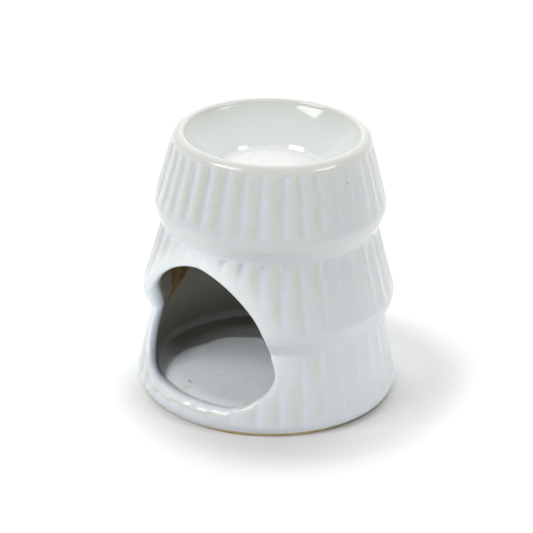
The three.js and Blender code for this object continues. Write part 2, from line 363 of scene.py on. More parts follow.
@dataclass(frozen=True)
class Flutes:
    """Hand-cut flutes that run down all three tiers in line.

    A flute's depth is depth * share * ((1 - cos(phase)) / 2) ** narrow. The phase starts
    as the number of flutes times the azimuth, plus a waver and less set_back. Lean times
    (1 - cos) of it is then added, which makes each flute steeper on its left side. The
    waver is a sum of sines, each given by its size, its waves round the burner, its start
    and what a millimetre of height adds to that. The hand's uneven pressure is one too.
    """

    count: int = 34
    depth: float = 0.84
    lean: float = 0.5
    waver: tuple[tuple[float, int, float, float], ...] = (
        (0.26, 5, 1.3, 0.0), (0.20, 9, 0.7, 0.02), (0.16, 14, 2.1, -0.03), (0.10, 23, 0.0, 0.05),
    )  # fmt: skip
    set_back: float = 0.26 * math.sin(1.3) + 0.20 * math.sin(0.7)
    hand: tuple[tuple[float, int, float], ...] = ((0.10, 7, 0.4), (0.08, 17, 1.9))
    levels: tuple[float, ...] = (
        2.2, 7.0, 27.0, 30.2, 31.4, 38.4, 45.5, 53.0, 64.0, 66.1, 73.0, 80.5, 97.4, 99.5,
    )  # fmt: skip
    shares: tuple[float, ...] = (0, 1.1, 1.15, 1.2, 0, 0, 1.1, 1.2, 1.9, 0, 0, 1, 1.05, 0)
    narrow_levels: tuple[float, ...] = (3.6, 24.0, 31.0, 39.0, 56.0, 62.0, 66.0, 73.0, 80.0, 97.0)
    narrow_shares: tuple[float, ...] = (1.0, 1.1, 1.8, 1.1, 1.1, 1.3, 1.7, 1.1, 1.1, 1.3)
    soft_side: float = math.radians(88.0)
    soft_width: float = math.radians(21.0)
    soft_share: float = 0.85

    def phase(self, az: Array, z: Array) -> Array:
        """Angle through the flutes at an azimuth and a height, with the hand's waver.

        Args:
            az: Azimuths in radians.
            z: Heights.

        Returns:
            Angles in radians, a whole turn for each flute.
        """
        sines = (a * np.sin(n * az + start + rise * z) for a, n, start, rise in self.waver)
        even = self.count * az + sum(sines) - self.set_back
        return even + self.lean * (1.0 - np.cos(even))

    def strength(self, az: Array, z: Array) -> Array:
        """Share of the full depth: by height, and shallower on one side of the burner.

        Args:
            az: Azimuths in radians.
            z: Heights.

        Returns:
            The shares.
        """
        turn = np.angle(np.exp(1j * (az - self.soft_side)))
        side = 1.0 - self.soft_share * np.exp(-0.5 * (turn / self.soft_width) ** 2)
        hand = 1.0 + sum(a * np.sin(n * az + start) for a, n, start in self.hand)
        return eased_steps(z, self.levels, self.shares) * side * hand

    def cut(self, az: Array, z: Array) -> Array:
        """Depth of the flutes.

        Args:
            az: Azimuths in radians.
            z: Heights.

        Returns:
            The depths in millimetres.
        """
        narrow = eased_steps(z, self.narrow_levels, self.narrow_shares)
        wave = 0.5 * (1.0 - np.cos(self.phase(az, z)))
        return self.depth * self.strength(az, z) * wave**narrow

    def relief(self, az: Array, z: Array) -> Array:
        """-1 in a flute, 1 on a ridge and 0 where there are none."""
        return np.clip(self.strength(az, z), 0, 1) * np.cos(self.phase(az, z))


@dataclass(frozen=True)
class ChamberWall:
    """The smooth inner wall of the chamber and the fillet at its floor.

    The radius runs straight between the keys, and is the mean of that at the heights in
    softening above and below, which softens the corners. In the fillet it shrinks as an
    arc that meets the floor at an angle. The fillet is larger behind the sill, by an
    amount that falls off with the azimuth as exp(-(az / sill_half_angle) ** 4 / 2).
    """

    floor: float
    heights: tuple[float, ...] = (6.0, 9.0, 20.0, 31.0, 39.5, 52.0, 66.2, 74.0, 82.0)
    radii: tuple[float, ...] = (43.5, 43.3, 41.6, 39.0, 41.6, 39.2, 35.2, 37.4, 33.4)
    softening: tuple[float, ...] = (-2.0, -1.0, 0.0, 0.0, 1.0, 2.0)
    fillet: float = 3.6
    fillet_arc: float = 0.93
    sill_fillet: float = 3.0
    sill_half_angle: float = math.radians(28.0)

    def radius(self, az: Array, z: Array) -> Array:
        """Inner radius at an azimuth and a height.

        Args:
            az: Azimuths in radians.
            z: Heights.

        Returns:
            The radii.
        """
        straight = (np.interp(z + d, self.heights, self.radii) for d in self.softening)
        wall = sum(straight) / len(self.softening)
        turn = np.angle(np.exp(1j * np.asarray(az)))
        size = self.fillet + self.sill_fillet * np.exp(-0.5 * (turn / self.sill_half_angle) ** 4)
        below = self.fillet_arc * np.clip(1.0 - (z - self.floor) / size, 0.0, 1.0)
        return wall - size * (1.0 - np.sqrt(1.0 - below**2))


# Sheets of points and closed meshes


@dataclass
class Sheet:
    """A grid of points with its marks. wrap joins its last column to its first."""

    points: Array
    marks: Array
    wrap: bool = False

    def mark(self, name: str) -> Array:
        """One of the marks on the whole grid, as a view that can be changed."""
        return self.marks[..., MARKS.index(name)]

    def faces(self, start: int) -> Array:
        """Quads between neighbouring rows and columns.

        Args:
            start: Index of the sheet's first vertex in the mesh.

        Returns:
            Vertex indices in rows of four.
        """
        rows, columns = self.points.shape[:2]
        index = start + np.arange(rows * columns).reshape(rows, columns)
        if self.wrap:
            index = np.concatenate([index, index[:, :1]], axis=1)
        quads = [index[:-1, :-1], index[:-1, 1:], index[1:, 1:], index[1:, :-1]]
        return np.stack([q.ravel() for q in quads], axis=1)


def marks_like(points: Array, **given: Any) -> Array:
    """Plain marks for points, with those that are given put in.

    Args:
        points: The points, whose last axis is x, y, z.
        **given: A value or array for any of the marks, by name.

    Returns:
        An array with one value for each mark on its last axis.
    """
    marks = np.empty(points.shape[:-1] + (len(MARKS),))
    marks[...] = PLAIN
    for name, value in given.items():
        marks[..., MARKS.index(name)] = value
    return marks


def bridge(first: Sheet, row: int, second: Sheet, other: int, wrap: bool = False) -> Sheet:
    """A sheet of two rows, one out of each of two sheets with the same columns."""
    points = np.stack([first.points[row], second.points[other]])
    return Sheet(points, np.stack([first.marks[row], second.marks[other]]), wrap)


def around(az: Array, r: Array, z: Array) -> Array:
    """Points at azimuths from -Y towards +X, radii and heights."""
    az, r, z = np.broadcast_arrays(az, r, z)
    return np.stack([r * np.sin(az), -r * np.cos(az), z], axis=-1)


def closed_mesh(name: str, sheets: Sequence[Sheet], caps: Sequence[Array] = ()) -> bpy.types.Object:
    """Joins sheets and flat caps into one closed, smooth object in metres.

    Args:
        name: The object's name.
        sheets: Grids whose borders meet.
        caps: Flat polygons that close what the sheets leave open.

    Returns:
        The object, linked to the scene, with its faces pointing outwards.
    """
    points = [s.points.reshape(-1, 3) for s in sheets] + [np.asarray(c) for c in caps]
    marks = [s.marks.reshape(-1, len(MARKS)) for s in sheets] + [marks_like(c) for c in caps]
    starts = np.concatenate([[0], np.cumsum([len(p) for p in points])])
    faces = np.concatenate([s.faces(int(i)) for s, i in zip(sheets, starts)]).tolist()
    faces += [list(range(int(i), int(i) + len(c))) for c, i in zip(caps, starts[len(sheets) :])]
    mesh = bpy.data.meshes.new(name)
    mesh.from_pydata(np.concatenate(points) * MM, [], faces)
    values = np.concatenate(marks)
    for k, mark in enumerate(MARKS):
        layer = mesh.attributes.new(mark, "FLOAT", "POINT")
        layer.data.foreach_set("value", values[:, k].astype(np.float32))
    shaped = bmesh.new()
    shaped.from_mesh(mesh)
    bmesh.ops.remove_doubles(shaped, verts=shaped.verts, dist=WELD)
    bmesh.ops.recalc_face_normals(shaped, faces=shaped.faces)
    shaped.to_mesh(mesh)
    shaped.free()
    mesh.shade_smooth()
    mesh.set_sharp_from_angle(angle=SHARP_ANGLE)
    made = bpy.data.objects.new(name, mesh)
    bpy.context.scene.collection.objects.link(made)
    return made


def azimuths(first: int, last: int) -> Array:
    """Azimuths of the columns from first to last, both included."""
    return np.arange(first, last + 1) * TAU / COLUMNS


# The door and the two tiers it is cut in


class Side(Enum):
    """Which part of the door a tier has: what lies below its seam or above it."""

    SILL = -1.0
    ARCH = 1.0


@dataclass(frozen=True)
class Door:
    """The arched door, as an outline in the plane of x and z, and the nose round its edge.

    The sill is flat with elliptic corners; above the springing line the outline is a
    superellipse of power arch_power. At the seam both sides are drawn in by the share
    pinch, which falls off as a Gaussian. The nose's offset from the outline is
    clear + depth * (1 - sin(phi) ** squareness), where the depth goes from its outer
    value to its inner one. Across the wall the nose runs from the outer surface to the
    inner one as (1 + cos(phi)) / 2.

    The arris, which the cream line follows, lies at a turn round the nose that goes from
    the first of arris_turns to the second as x goes through arris_reach. Over flute_turns
    the nose loses the flutes, and over pool_turns it gains pooled glaze. Away from the
    edge the flutes come back over plain_reach, and the chamber's painted shade, a darker
    tone in place of the dimness inside, begins over light_reach. Lengths are in
    millimetres.
    """

    seam: float
    half_width: float = 31.0
    sill: float = 8.2
    top: float = 60.0
    spring: float = 30.474
    arch_power: float = 1.7
    corner: tuple[float, float] = (18.0, 14.5)
    clear: float = -0.6
    depth: tuple[float, float] = (3.2, 1.9)
    squareness: float = 0.9
    arris_turns: tuple[float, float] = (math.radians(14.0), math.radians(52.0))
    arris_reach: tuple[float, float] = (8.0, 22.0)
    flute_turns: tuple[float, float] = (0.0, 0.7)
    pool_turns: tuple[float, float] = (0.4, 1.3)
    nose_steps: int = 24
    outline_step: float = 0.1
    level_reach: float = 4.0
    pinch: float = 0.08
    pinch_reach: float = 5.5
    plain_reach: tuple[float, float] = (1.0, 8.0)
    light_reach: tuple[float, float] = (1.0, 5.0)
    sill_levels: tuple[float, float] = (10.0, 20.0)
    sill_share: float = 0.55
    corner_power: float = 2.6

    def outline(self, side: Side) -> tuple[Array, Array]:
        """Dense outline of one side of the seam, from the left jamb to the right one.

        Args:
            side: Which part of the door.

        Returns:
            Points of [x, z] and unit normals that point into the wall. At the seam the
            normal is level, so that both tiers' noses meet there.
        """
        if side is Side.SILL:
            turn = np.linspace(0.0, math.pi / 2, 200)
            width, height = self.corner
            across = self.half_width - width + width * np.sin(turn)
            corner = np.stack([across, self.sill + height - height * np.cos(turn)], axis=1)
            rise = np.linspace(self.spring, self.seam, 20)[1:]
            right = np.concatenate([[[0.0, self.sill]], corner, self.arch(rise)])
            right = np.insert(right, -len(rise), [self.half_width, self.spring], axis=0)
        else:
            share = np.sin(np.linspace(math.pi / 2, 0.0, 400))
            right = self.arch(self.seam + (self.top - self.seam) * share)
        left = right[::-1] * np.array([-1.0, 1.0])
        whole = resampled(np.concatenate([left, right[1:]]), self.outline_step)
        whole[0, 1] = whole[-1, 1] = self.seam
        away = whole[:, 1] - self.seam
        whole[:, 0] *= 1.0 - self.pinch * np.exp(-((away / self.pinch_reach) ** 2))
        along = np.gradient(whole, axis=0)
        normal = np.stack([along[:, 1], -along[:, 0]], axis=1) * -side.value
        normal[:, 1] *= 1.0 - np.exp(-((away / self.level_reach) ** 2))
        return whole, normal / np.linalg.norm(normal, axis=1, keepdims=True)

    def offset(self, phi: Array) -> Array:
        """Distance from the outline into the wall at angles round the nose.

        Args:
            phi: The angles, from 0 outside to pi inside.

        Returns:
            The distances.
        """
        outer, inner = self.depth
        depth = inner + (outer - inner) * 0.5 * (1.0 + np.cos(phi))
        return self.clear + depth * (1.0 - np.sin(phi) ** self.squareness)

    def beyond(self, x: Array, z: Array) -> Array:
        """About how far a point lies outside the door.

        The door is taken as a superellipse about the middle of its springing line. A point
        at q times the superellipse's size lies (q - 1) / q of its distance from the middle
        outside it.

        Args:
            x: Distances from the door's axis.
            z: Heights.

        Returns:
            The distances in millimetres, negative inside the door.
        """
        rise = z - self.spring
        power = np.where(rise > 0.0, self.arch_power, self.corner_power)
        half = np.where(rise > 0.0, self.top - self.spring, self.spring - self.sill)
        q = (np.abs(x / self.half_width) ** power + np.abs(rise / half) ** power) ** (1.0 / power)
        return (1.0 - 1.0 / np.maximum(q, 0.1)) * np.hypot(x, rise)

    def arch(self, z: Array) -> Array:
        """Right side of the arch at heights above the springing line.

        Args:
            z: The heights.

        Returns:
            Points of [x, z].
        """
        rise = np.clip((z - self.spring) / (self.top - self.spring), 0.0, 1.0)
        power = self.arch_power
        return np.stack([self.half_width * (1 - rise**power) ** (1 / power), z], axis=-1)


@dataclass(frozen=True)
class Wedge:
    """The patch of bare clay high on the chamber's left wall: a wedge that stands on its tip.

    Its middle line leans by lean degrees for each millimetre above the tip, and its
    half-width grows from tip_half by the share spread of that height.
    """

    azimuth: float = -67.5
    tip: float = 24.8
    height: float = 22.0
    lean: float = -1.45
    tip_half: float = 1.0
    spread: float = 0.6
    mm_per_degree: float = 0.7

    def mark(self, az: Array, z: Array) -> Array:
        """The bare mark: how far a point lies inside the wedge's nearest side.

        Args:
            az: Azimuths in degrees.
            z: Heights.

        Returns:
            The marks in millimetres, below 0 outside the wedge.
        """
        rise = z - self.tip
        across = (az - (self.azimuth + self.lean * rise)) * self.mm_per_degree
        side = self.tip_half + self.spread * rise - np.abs(across)
        return np.clip(np.minimum(side, np.minimum(rise, self.height - rise)), -FAR_EDGE, FAR_EDGE)


@dataclass
class Burner:
    """The surfaces that all pieces share, and the marks on them.

    Glaze pools by pool_shares at pool_levels, and a ridge-coloured bead lies under each
    roll. The chamber's wall carries a painted shade, darker than the outside; behind the
    sill this is taken off, so that the wall is as light as the outside, fully below the
    first of light_levels, and less with the azimuth as exp(-(az / light_half_angle) ** 4).
    """

    outside: Outside
    flutes: Flutes
    chamber: ChamberWall
    door: Door
    wedge: Wedge = Wedge()
    pool_levels: tuple[float, ...] = (1.5, 4.5, 8.0, 26.0, 31.6, 37.0, 41.0, 61.0, 66.3, 71.5, 75.5)
    pool_shares: tuple[float, ...] = (0.5, 0.3, 0.1, 0.1, 0.4, 0.4, 0.1, 0.0, 0.2, 0.1, 0.0)
    bead_levels: tuple[float, ...] = (36.7, 71.1)
    bead_width: float = 0.5
    bead_share: float = 0.8
    light_levels: tuple[float, float] = (7.5, 13.0)
    light_half_angle: float = math.radians(45.0)

    def door_share(self, az: Array, z: Array) -> Array:
        """1 away from the door, and less at its edge, where the arch is left plain.

        Args:
            az: Azimuths in radians.
            z: Heights.

        Returns:
            The shares, which are higher at the sill than at the arch.
        """
        door, az = self.door, np.asarray(az, float)
        x = self.outside.radius(z) * np.sin(az)
        away = np.where(np.cos(az) > 0.0, door.beyond(x, z), FAR_AWAY)
        least = eased_steps(z, door.sill_levels, (door.sill_share, 0.0))
        return least + (1.0 - least) * eased_steps(away, door.plain_reach, (0.0, 1.0))

    def cut(self, az: Array, z: Array) -> Array:
        """Depth of the flutes, which fade out round the door."""
        return self.flutes.cut(az, z) * self.door_share(az, z)

    def relief(self, az: Array, z: Array) -> Array:
        """The relief mark: from the flutes, and high on the beads.

        Args:
            az: Azimuths in radians.
            z: Heights.

        Returns:
            The marks, from 0 in a flute to 1 on a ridge.
        """
        plain = 0.5 + 0.5 * self.flutes.relief(az, z) * self.door_share(az, z)
        bead = sum(np.exp(-(((z - level) / self.bead_width) ** 2)) for level in self.bead_levels)
        return plain + (1.0 - plain) * self.bead_share * bead

    def outer_radius(self, az: Array, z: Array) -> Array:
        """Outer radius with the flutes."""
        return self.outside.radius(z) - self.cut(az, z)

    def turned_to(self, x: Array, z: Array, radius: Surface) -> Array:
        """Azimuth at which a surface passes over a point of the door's plane.

        Solves az = asin(x / radius(az, z)) by repeated substitution.

        Args:
            x: Distances from the door's axis.
            z: Heights.
            radius: Function of azimuth and height.

        Returns:
            The azimuths.
        """
        az = np.arcsin(np.clip(x / radius(0.0, z), -1.0, 1.0))
        for _ in range(8):
            az = np.arcsin(np.clip(x / radius(az, z), -1.0, 1.0))
        return az

    def outer_marks(
        self, az: Array, z: Array, points: Array, edge: Array | float = FAR_EDGE
    ) -> Array:
        """Marks of the outer surface at azimuths and heights."""
        pool = eased_steps(z, self.pool_levels, self.pool_shares)
        return marks_like(points, relief=self.relief(az, z), pool=pool, edge=edge)

    def outer_sheet(self, az: Array, rows: Array, wrap: bool) -> Sheet:
        """The outer surface over whole columns.

        Args:
            az: Azimuths of the columns.
            rows: Points of [radius, height] on the meridian.
            wrap: Whether the columns close round the burner.

        Returns:
            The sheet, with one row for each point of the meridian.
        """
        z = rows[:, 1:]
        points = around(az[None, :], rows[:, :1] - self.cut(az[None, :], z), z)
        return Sheet(points, self.outer_marks(az[None, :], z, points), wrap)

    def inner_sheet(self, az: Array, z: Array, wrap: bool) -> Sheet:
        """The chamber's wall over whole columns, at heights.

        Args:
            az: Azimuths of the columns.
            z: Heights of the rows.
            wrap: Whether the columns close round the burner.

        Returns:
            The sheet.
        """
        z = z[:, None]
        points = around(az[None, :], self.chamber.radius(az[None, :], z), z)
        return Sheet(points, self.inner_marks(points), wrap)

    def inner_marks(self, points: Array) -> Array:
        """Marks of the chamber's wall: light behind the sill, and bare on the wedge.

        Args:
            points: Points on the wall.

        Returns:
            Their marks.
        """
        az, z = np.arctan2(points[..., 0], -points[..., 1]), points[..., 2]
        low = eased_steps(z, self.light_levels, (1.0, 0.0))
        # The inside mark, which paints the chamber's shade, is 1 less this light, so the painted
        # shade is taken off behind the sill.
        light = low * np.exp(-((az / self.light_half_angle) ** 4))
        bare = self.wedge.mark(np.degrees(az), z)
        return marks_like(points, pool=light, edge=-FAR_EDGE, inside=1.0 - light, bare=bare)


@dataclass
class DoorTier:
    """A tier with its part of the door: whole columns behind, a block round the door in front.

    The block is a fan of straight rays, in azimuth and height, from the border of a
    rectangle to the edge of the door. A nose carries its inner end round the wall's edge
    to the same fan on the chamber's wall.
    """

    burner: Burner
    name: str
    side: Side
    seam: float
    far: float
    inner_far: float
    rows: int
    outer_rays: int = 36
    inner_rays: int = 14
    turn_weight: float = 2.2
    sill_grading: float = 0.9

    def columns(self) -> tuple[Array, Array]:
        """Azimuths of the whole columns behind, and of the far row in front."""
        return azimuths(DOOR_COLUMNS, COLUMNS - DOOR_COLUMNS), azimuths(-DOOR_COLUMNS, DOOR_COLUMNS)

    def border(self, z: Array) -> tuple[Array, Array]:
        """Azimuths and heights round the rectangle, from the seam on the left to the right.

        Args:
            z: Heights of the columns' rows, from the seam to the far row.

        Returns:
            Azimuths and heights in order.
        """
        front = self.columns()[1]
        az = [np.full(len(z), front[0]), front[1:-1], np.full(len(z), front[-1])]
        return np.concatenate(az), np.concatenate([z, np.full(len(front) - 2, z[-1]), z[::-1]])

    def rays(
        self, border: tuple[Array, Array], x: Array, z: Array, radius: Surface, count: int
    ) -> tuple[Array, Array]:
        """Azimuths and heights on the straight rays from the border to the door's edge.

        Args:
            border: Azimuths and heights round the block.
            x: Distances of the rays' inner ends from the door's axis.
            z: Their heights.
            radius: The surface that the rays lie on.
            count: How many steps a ray has.

        Returns:
            Azimuths and heights, with a row for each step.
        """
        az = self.burner.turned_to(x, z, radius)
        share = np.linspace(0.0, 1.0, count + 1)[:, None]
        return border[0] + (az - border[0]) * share, border[1] + (z - border[1]) * share

    def rows_away(self) -> tuple[Array, Array]:
        """Rows from the seam to the far end.

        Returns:
            Points of [radius, height] on the outer meridian, and heights on the chamber's
            wall, which below the seam are closer together towards the sill.
        """
        low, high = min(self.seam, self.far), max(self.seam, self.far)
        curve = graded(self.burner.outside.between(low, high), self.rows, self.turn_weight)
        up = self.side is Side.ARCH
        span = np.linspace(0.0, 1.0, self.rows) ** (1.0 if up else self.sill_grading)
        return curve if up else curve[::-1], self.seam + (self.inner_far - self.seam) * span

    def outline_facing(self, border: tuple[Array, Array], offset: Array) -> tuple[Array, Array]:
        """Points on the door's outline that face the border's points.

        Two points face each other where they are seen at the same angle from the middle of
        the seam, on the outer surface unrolled at the crest's radius.

        Args:
            border: Azimuths and heights round the block.
            offset: Distance from the outline to where the outer surface ends.

        Returns:
            Points of [x, z] and the unit normals there.
        """
        burner = self.burner
        outline, normal = burner.door.outline(self.side)
        run = np.arange(len(outline), dtype=float)
        start = outline + offset * normal
        start_az = burner.turned_to(start[:, 0], start[:, 1], burner.outer_radius)
        scale = burner.outside.crest_radius
        sight = np.arctan2(start_az * scale, self.side.value * (start[:, 1] - self.seam))
        wanted = np.arctan2(border[0] * scale, self.side.value * (border[1] - self.seam))
        at = np.interp(wanted, sight, run)
        at[0], at[-1] = run[0], run[-1]
        edge = np.stack([np.interp(at, run, outline[:, k]) for k in range(2)], axis=1)
        out = np.stack([np.interp(at, run, normal[:, k]) for k in range(2)], axis=1)
        return edge, out / np.linalg.norm(out, axis=1, keepdims=True)

    def build(self) -> bpy.types.Object:
        """Makes the tier.

        Returns:
            The finished object.
        """
        burner, door = self.burner, self.burner.door
        curve, inner_z = self.rows_away()
        behind, front = self.columns()
        border = self.border(curve[:, 1])
        phi = np.linspace(0.0, math.pi, door.nose_steps + 1)[:, None]
        offset = door.offset(phi)
        edge, out = self.outline_facing(border, offset[0])
        x = edge[:, 0] + offset * out[:, 0]
        z = edge[:, 1] + offset * out[:, 1]

        nose = self.nose(x, z, phi)
        outer = self.outer_fan(border, x[0], z[0], nose.mark("edge")[0])
        inner = self.inner_fan(self.border(inner_z), x[-1], z[-1])
        back = burner.outer_sheet(behind, curve, False)
        back_inner = burner.inner_sheet(behind, inner_z, False)
        seam = bridge(back, 0, back_inner, 0)
        far = self.far_ring(front, behind, curve[-1], inner_z[-1])
        ends = [
            np.concatenate([outer.points[:-1, k], nose.points[:, k], inner.points[-2::-1, k]])
            for k in (0, -1)
        ]
        return closed_mesh(self.name, [outer, nose, inner, back, back_inner, seam, far], ends)

    def outer_fan(self, border: tuple[Array, Array], x: Array, z: Array, edge: Array) -> Sheet:
        """The outer surface from the border to the nose.

        Args:
            border: Azimuths and heights round the block.
            x: Distances of the nose's outer end from the door's axis.
            z: Its heights.
            edge: Its edge marks, to which the distance from it is added.

        Returns:
            The sheet, with a column for each ray.
        """
        burner = self.burner
        az, height = self.rays(border, x, z, burner.outer_radius, self.outer_rays)
        points = around(az, burner.outer_radius(az, height), height)
        reach = np.linalg.norm(points - points[-1:], axis=-1) + edge
        marks = burner.outer_marks(az, height, points, np.minimum(reach, FAR_EDGE))
        return Sheet(points, marks)

    def inner_fan(self, border: tuple[Array, Array], x: Array, z: Array) -> Sheet:
        """The chamber's wall from the border to the nose, next to which it stays light.

        Args:
            border: Azimuths and heights round the block.
            x: Distances of the nose's inner end from the door's axis.
            z: Its heights.

        Returns:
            The sheet, with a column for each ray.
        """
        burner = self.burner
        az, height = self.rays(border, x, z, burner.chamber.radius, self.inner_rays)
        points = around(az, burner.chamber.radius(az, height), height)
        sheet = Sheet(points, burner.inner_marks(points))
        away = np.linalg.norm(points - points[-1:], axis=-1)
        # Next to the nose the chamber's painted shade fades out, so the wall stays light there.
        sheet.mark("inside")[...] *= eased_steps(away, burner.door.light_reach, (0.0, 1.0))
        return sheet

    def nose(self, x: Array, z: Array, phi: Array) -> Sheet:
        """The rounded edge, from the outer surface to the inner one.

        Args:
            x: Distances from the door's axis, a row for each step of phi.
            z: Heights.
            phi: Angle round the nose, from 0 outside to pi inside.

        Returns:
            The sheet, with a row for each step of phi.
        """
        burner, door = self.burner, self.burner.door
        outer_az = burner.turned_to(x, z, burner.outer_radius)
        inner_az = burner.turned_to(x, z, burner.chamber.radius)
        outer = burner.outer_radius(outer_az, z) * np.cos(outer_az)
        inner = burner.chamber.radius(inner_az, z) * np.cos(inner_az)
        weight = 0.5 * (1.0 + np.cos(phi))
        points = np.stack([x, -(weight * outer + (1.0 - weight) * inner), z], axis=-1)
        edge = (eased_steps(x, door.arris_reach, door.arris_turns) - phi) * 0.5 * (outer - inner)
        fluted = eased_steps(phi, door.flute_turns, (1.0, 0.0))
        relief = 0.5 + (burner.relief(outer_az, z) - 0.5) * fluted
        pool = eased_steps(phi, door.pool_turns, (0.0, 1.0))
        edge = np.maximum(edge, -FAR_EDGE)
        return Sheet(points, marks_like(points, relief=relief, pool=pool, edge=edge))

    def far_ring(self, front: Array, behind: Array, outer_row: Array, inner_z: float) -> Sheet:
        """The ring that closes the tier at its far end.

        Args:
            front: Azimuths in front, which the block's far row has.
            behind: Azimuths behind.
            outer_row: Radius and height of the outer surface there.
            inner_z: Height of the inner surface there.

        Returns:
            A sheet round the whole burner.
        """
        burner = self.burner
        az = np.concatenate([front, behind[1:-1]])
        z = outer_row[1]
        rings = [around(az, outer_row[0] - burner.cut(az, z), z)]
        if inner_z != z:
            rings += [around(az, FLOOR_SEAT_RADIUS, height) for height in (z, inner_z)]
        rings.append(around(az, burner.chamber.radius(az, inner_z), inner_z))
        points = np.stack(rings)
        marks = marks_like(points)
        marks[0], marks[-1] = burner.outer_marks(az, z, points[0]), burner.inner_marks(points[-1])
        return Sheet(points, marks, wrap=True)


# Round pieces


def lathe(rows: Array, columns: int, **given: Any) -> Sheet:
    """Turns rows of [radius, height] about Z into a sheet with plain marks.

    Args:
        rows: Points of the meridian.
        columns: Columns round the axis.
        **given: Marks that aren't plain: a value, or one for each row.

    Returns:
        The sheet.
    """
    az = np.arange(columns) * TAU / columns
    points = around(az[None, :], rows[:, :1], rows[:, 1:])
    filled = {k: np.reshape(v, (-1, 1)) for k, v in given.items()}
    return Sheet(points, marks_like(points, **filled), wrap=True)


def run_from(points: Array, start: int) -> Array:
    """Distance along a polyline of each of its points from one of its ends.

    Args:
        points: Points in rows.
        start: 0 for the first end and -1 for the last.

    Returns:
        The distances in millimetres.
    """
    run = np.concatenate([[0.0], np.cumsum(np.linalg.norm(np.diff(points, axis=0), axis=1))])
    return np.abs(run - run[start])


@dataclass
class TopTier:
    """The upper skirt, with the shoulder, the bore that takes the dish, and its ledge."""

    burner: Burner
    seat: float
    name: str = "top_tier_glazed"
    rows: int = 118
    turn_weight: float = 1.6
    ledge_bore: float = 31.0
    ledge_top: float = 88.4
    ledge_foot: float = 84.4
    wall_top: float = 81.9
    inner_rows: int = 26

    def build(self) -> bpy.types.Object:
        """Makes the tier.

        Returns:
            The finished object.
        """
        burner, az = self.burner, azimuths(0, COLUMNS - 1)
        whole = burner.outside.between(self.seat, burner.outside.crest)
        curve = graded(whole, self.rows, self.turn_weight)
        curve[-1, 0] += SEAM
        outer = burner.outer_sheet(az, curve, wrap=True)
        edge = RIM_SHARE * (run_from(curve, -1) + RIM_INSET)
        outer.mark("edge")[...] = np.minimum(edge, FAR_EDGE)[:, None]
        z = np.linspace(self.wall_top, self.seat, self.inner_rows)
        wall = np.stack([burner.chamber.radius(math.pi, z), z], axis=1)
        step = [[self.ledge_bore, self.ledge_top], [self.ledge_bore, self.ledge_foot]]
        bore = np.array([curve[-1], [curve[-1, 0], self.ledge_top], *step])
        # inside=1 gives the bore, the ledge and the chamber's upper wall the painted shade.
        inner = lathe(np.concatenate([bore, wall]), COLUMNS, inside=1.0)
        inner.marks[0] = outer.marks[-1]
        return closed_mesh(self.name, [outer, inner, bridge(outer, 0, inner, -1, wrap=True)])


@dataclass
class OilDish:
    """The bowl in the top tier, with its lip, flat floor and rounded underside.

    A second light band follows the ring at the floor, with its own share of the distance:
    a painted highlight in place of the lamps' reflection in the floor's fillet.
    """

    outside: Outside
    name: str = "oil_dish_glazed"
    columns: int = 272
    rows: int = 110
    turn_weight: float = 3.0
    body: float = 30.98
    seat: float = 88.405
    base_round: float = 5.0
    base_thickness: float = 5.0
    # The ring at the dish floor that the painted highlight follows.
    ring: float = 18.2
    ring_highlight_share: float = 0.35

    def build(self) -> bpy.types.Object:
        """Makes the dish.

        Returns:
            The finished object.
        """
        bowl = graded(self.outside.dish(), self.rows, self.turn_weight)
        bowl[0, 0] -= SEAM
        underside = self.outside.crest - self.outside.dish_depth - self.base_thickness
        turn = self.base_round
        base = Roll(self.body - turn, underside + turn, turn)
        lip = bowl[0, 0]
        under = np.concatenate(
            [
                [[lip, self.seat], [self.body, self.seat]],
                base.point(np.linspace(0.0, -math.pi / 2, 12)),
                [[0.0, underside]],
            ]
        )
        whole = np.concatenate([bowl[::-1], under])
        rim = np.minimum(RIM_SHARE * np.abs(run_from(bowl, 0) - RIM_INSET), FAR_EDGE)
        # Painted highlight: the light band also follows the ring at the floor.
        rim = np.minimum(rim, self.ring_highlight_share * np.abs(bowl[:, 0] - self.ring))
        edge = np.concatenate([rim[::-1], np.full(len(under), FAR_EDGE)])
        # The hidden underside gets inside=1, the painted shade.
        inside = np.concatenate([np.zeros(len(bowl)), np.ones(len(under))])
        return closed_mesh(self.name, [lathe(whole, self.columns, edge=edge, inside=inside)])


@dataclass
class ChamberFloor:
    """The floor that the tealight stands on, with faint rings from the potter's fingers.

    The rings' height is ring_height * sin(r / ring_pitch), and fades towards the wall.
    """

    low: float
    high: float
    name: str = "chamber_floor_glazed"
    columns: int = 272
    rows: int = 90
    radius: float = 43.4
    ring_pitch: float = 1.7
    ring_height: float = 0.02
    fade: float = 6.0

    def build(self) -> bpy.types.Object:
        """Makes the floor.

        Returns:
            The finished object.
        """
        r = np.linspace(0.0, self.radius, self.rows)
        fade = np.clip((self.radius - r) / self.fade, 0.0, 1.0)
        top = self.high - SEAM - self.ring_height * fade * (1 + np.sin(r / self.ring_pitch))
        below = [[self.radius, self.low], [0.0, self.low]]
        rows = np.concatenate([np.stack([r, top], axis=1), below])
        return closed_mesh(self.name, [lathe(rows, self.columns, inside=1.0)])


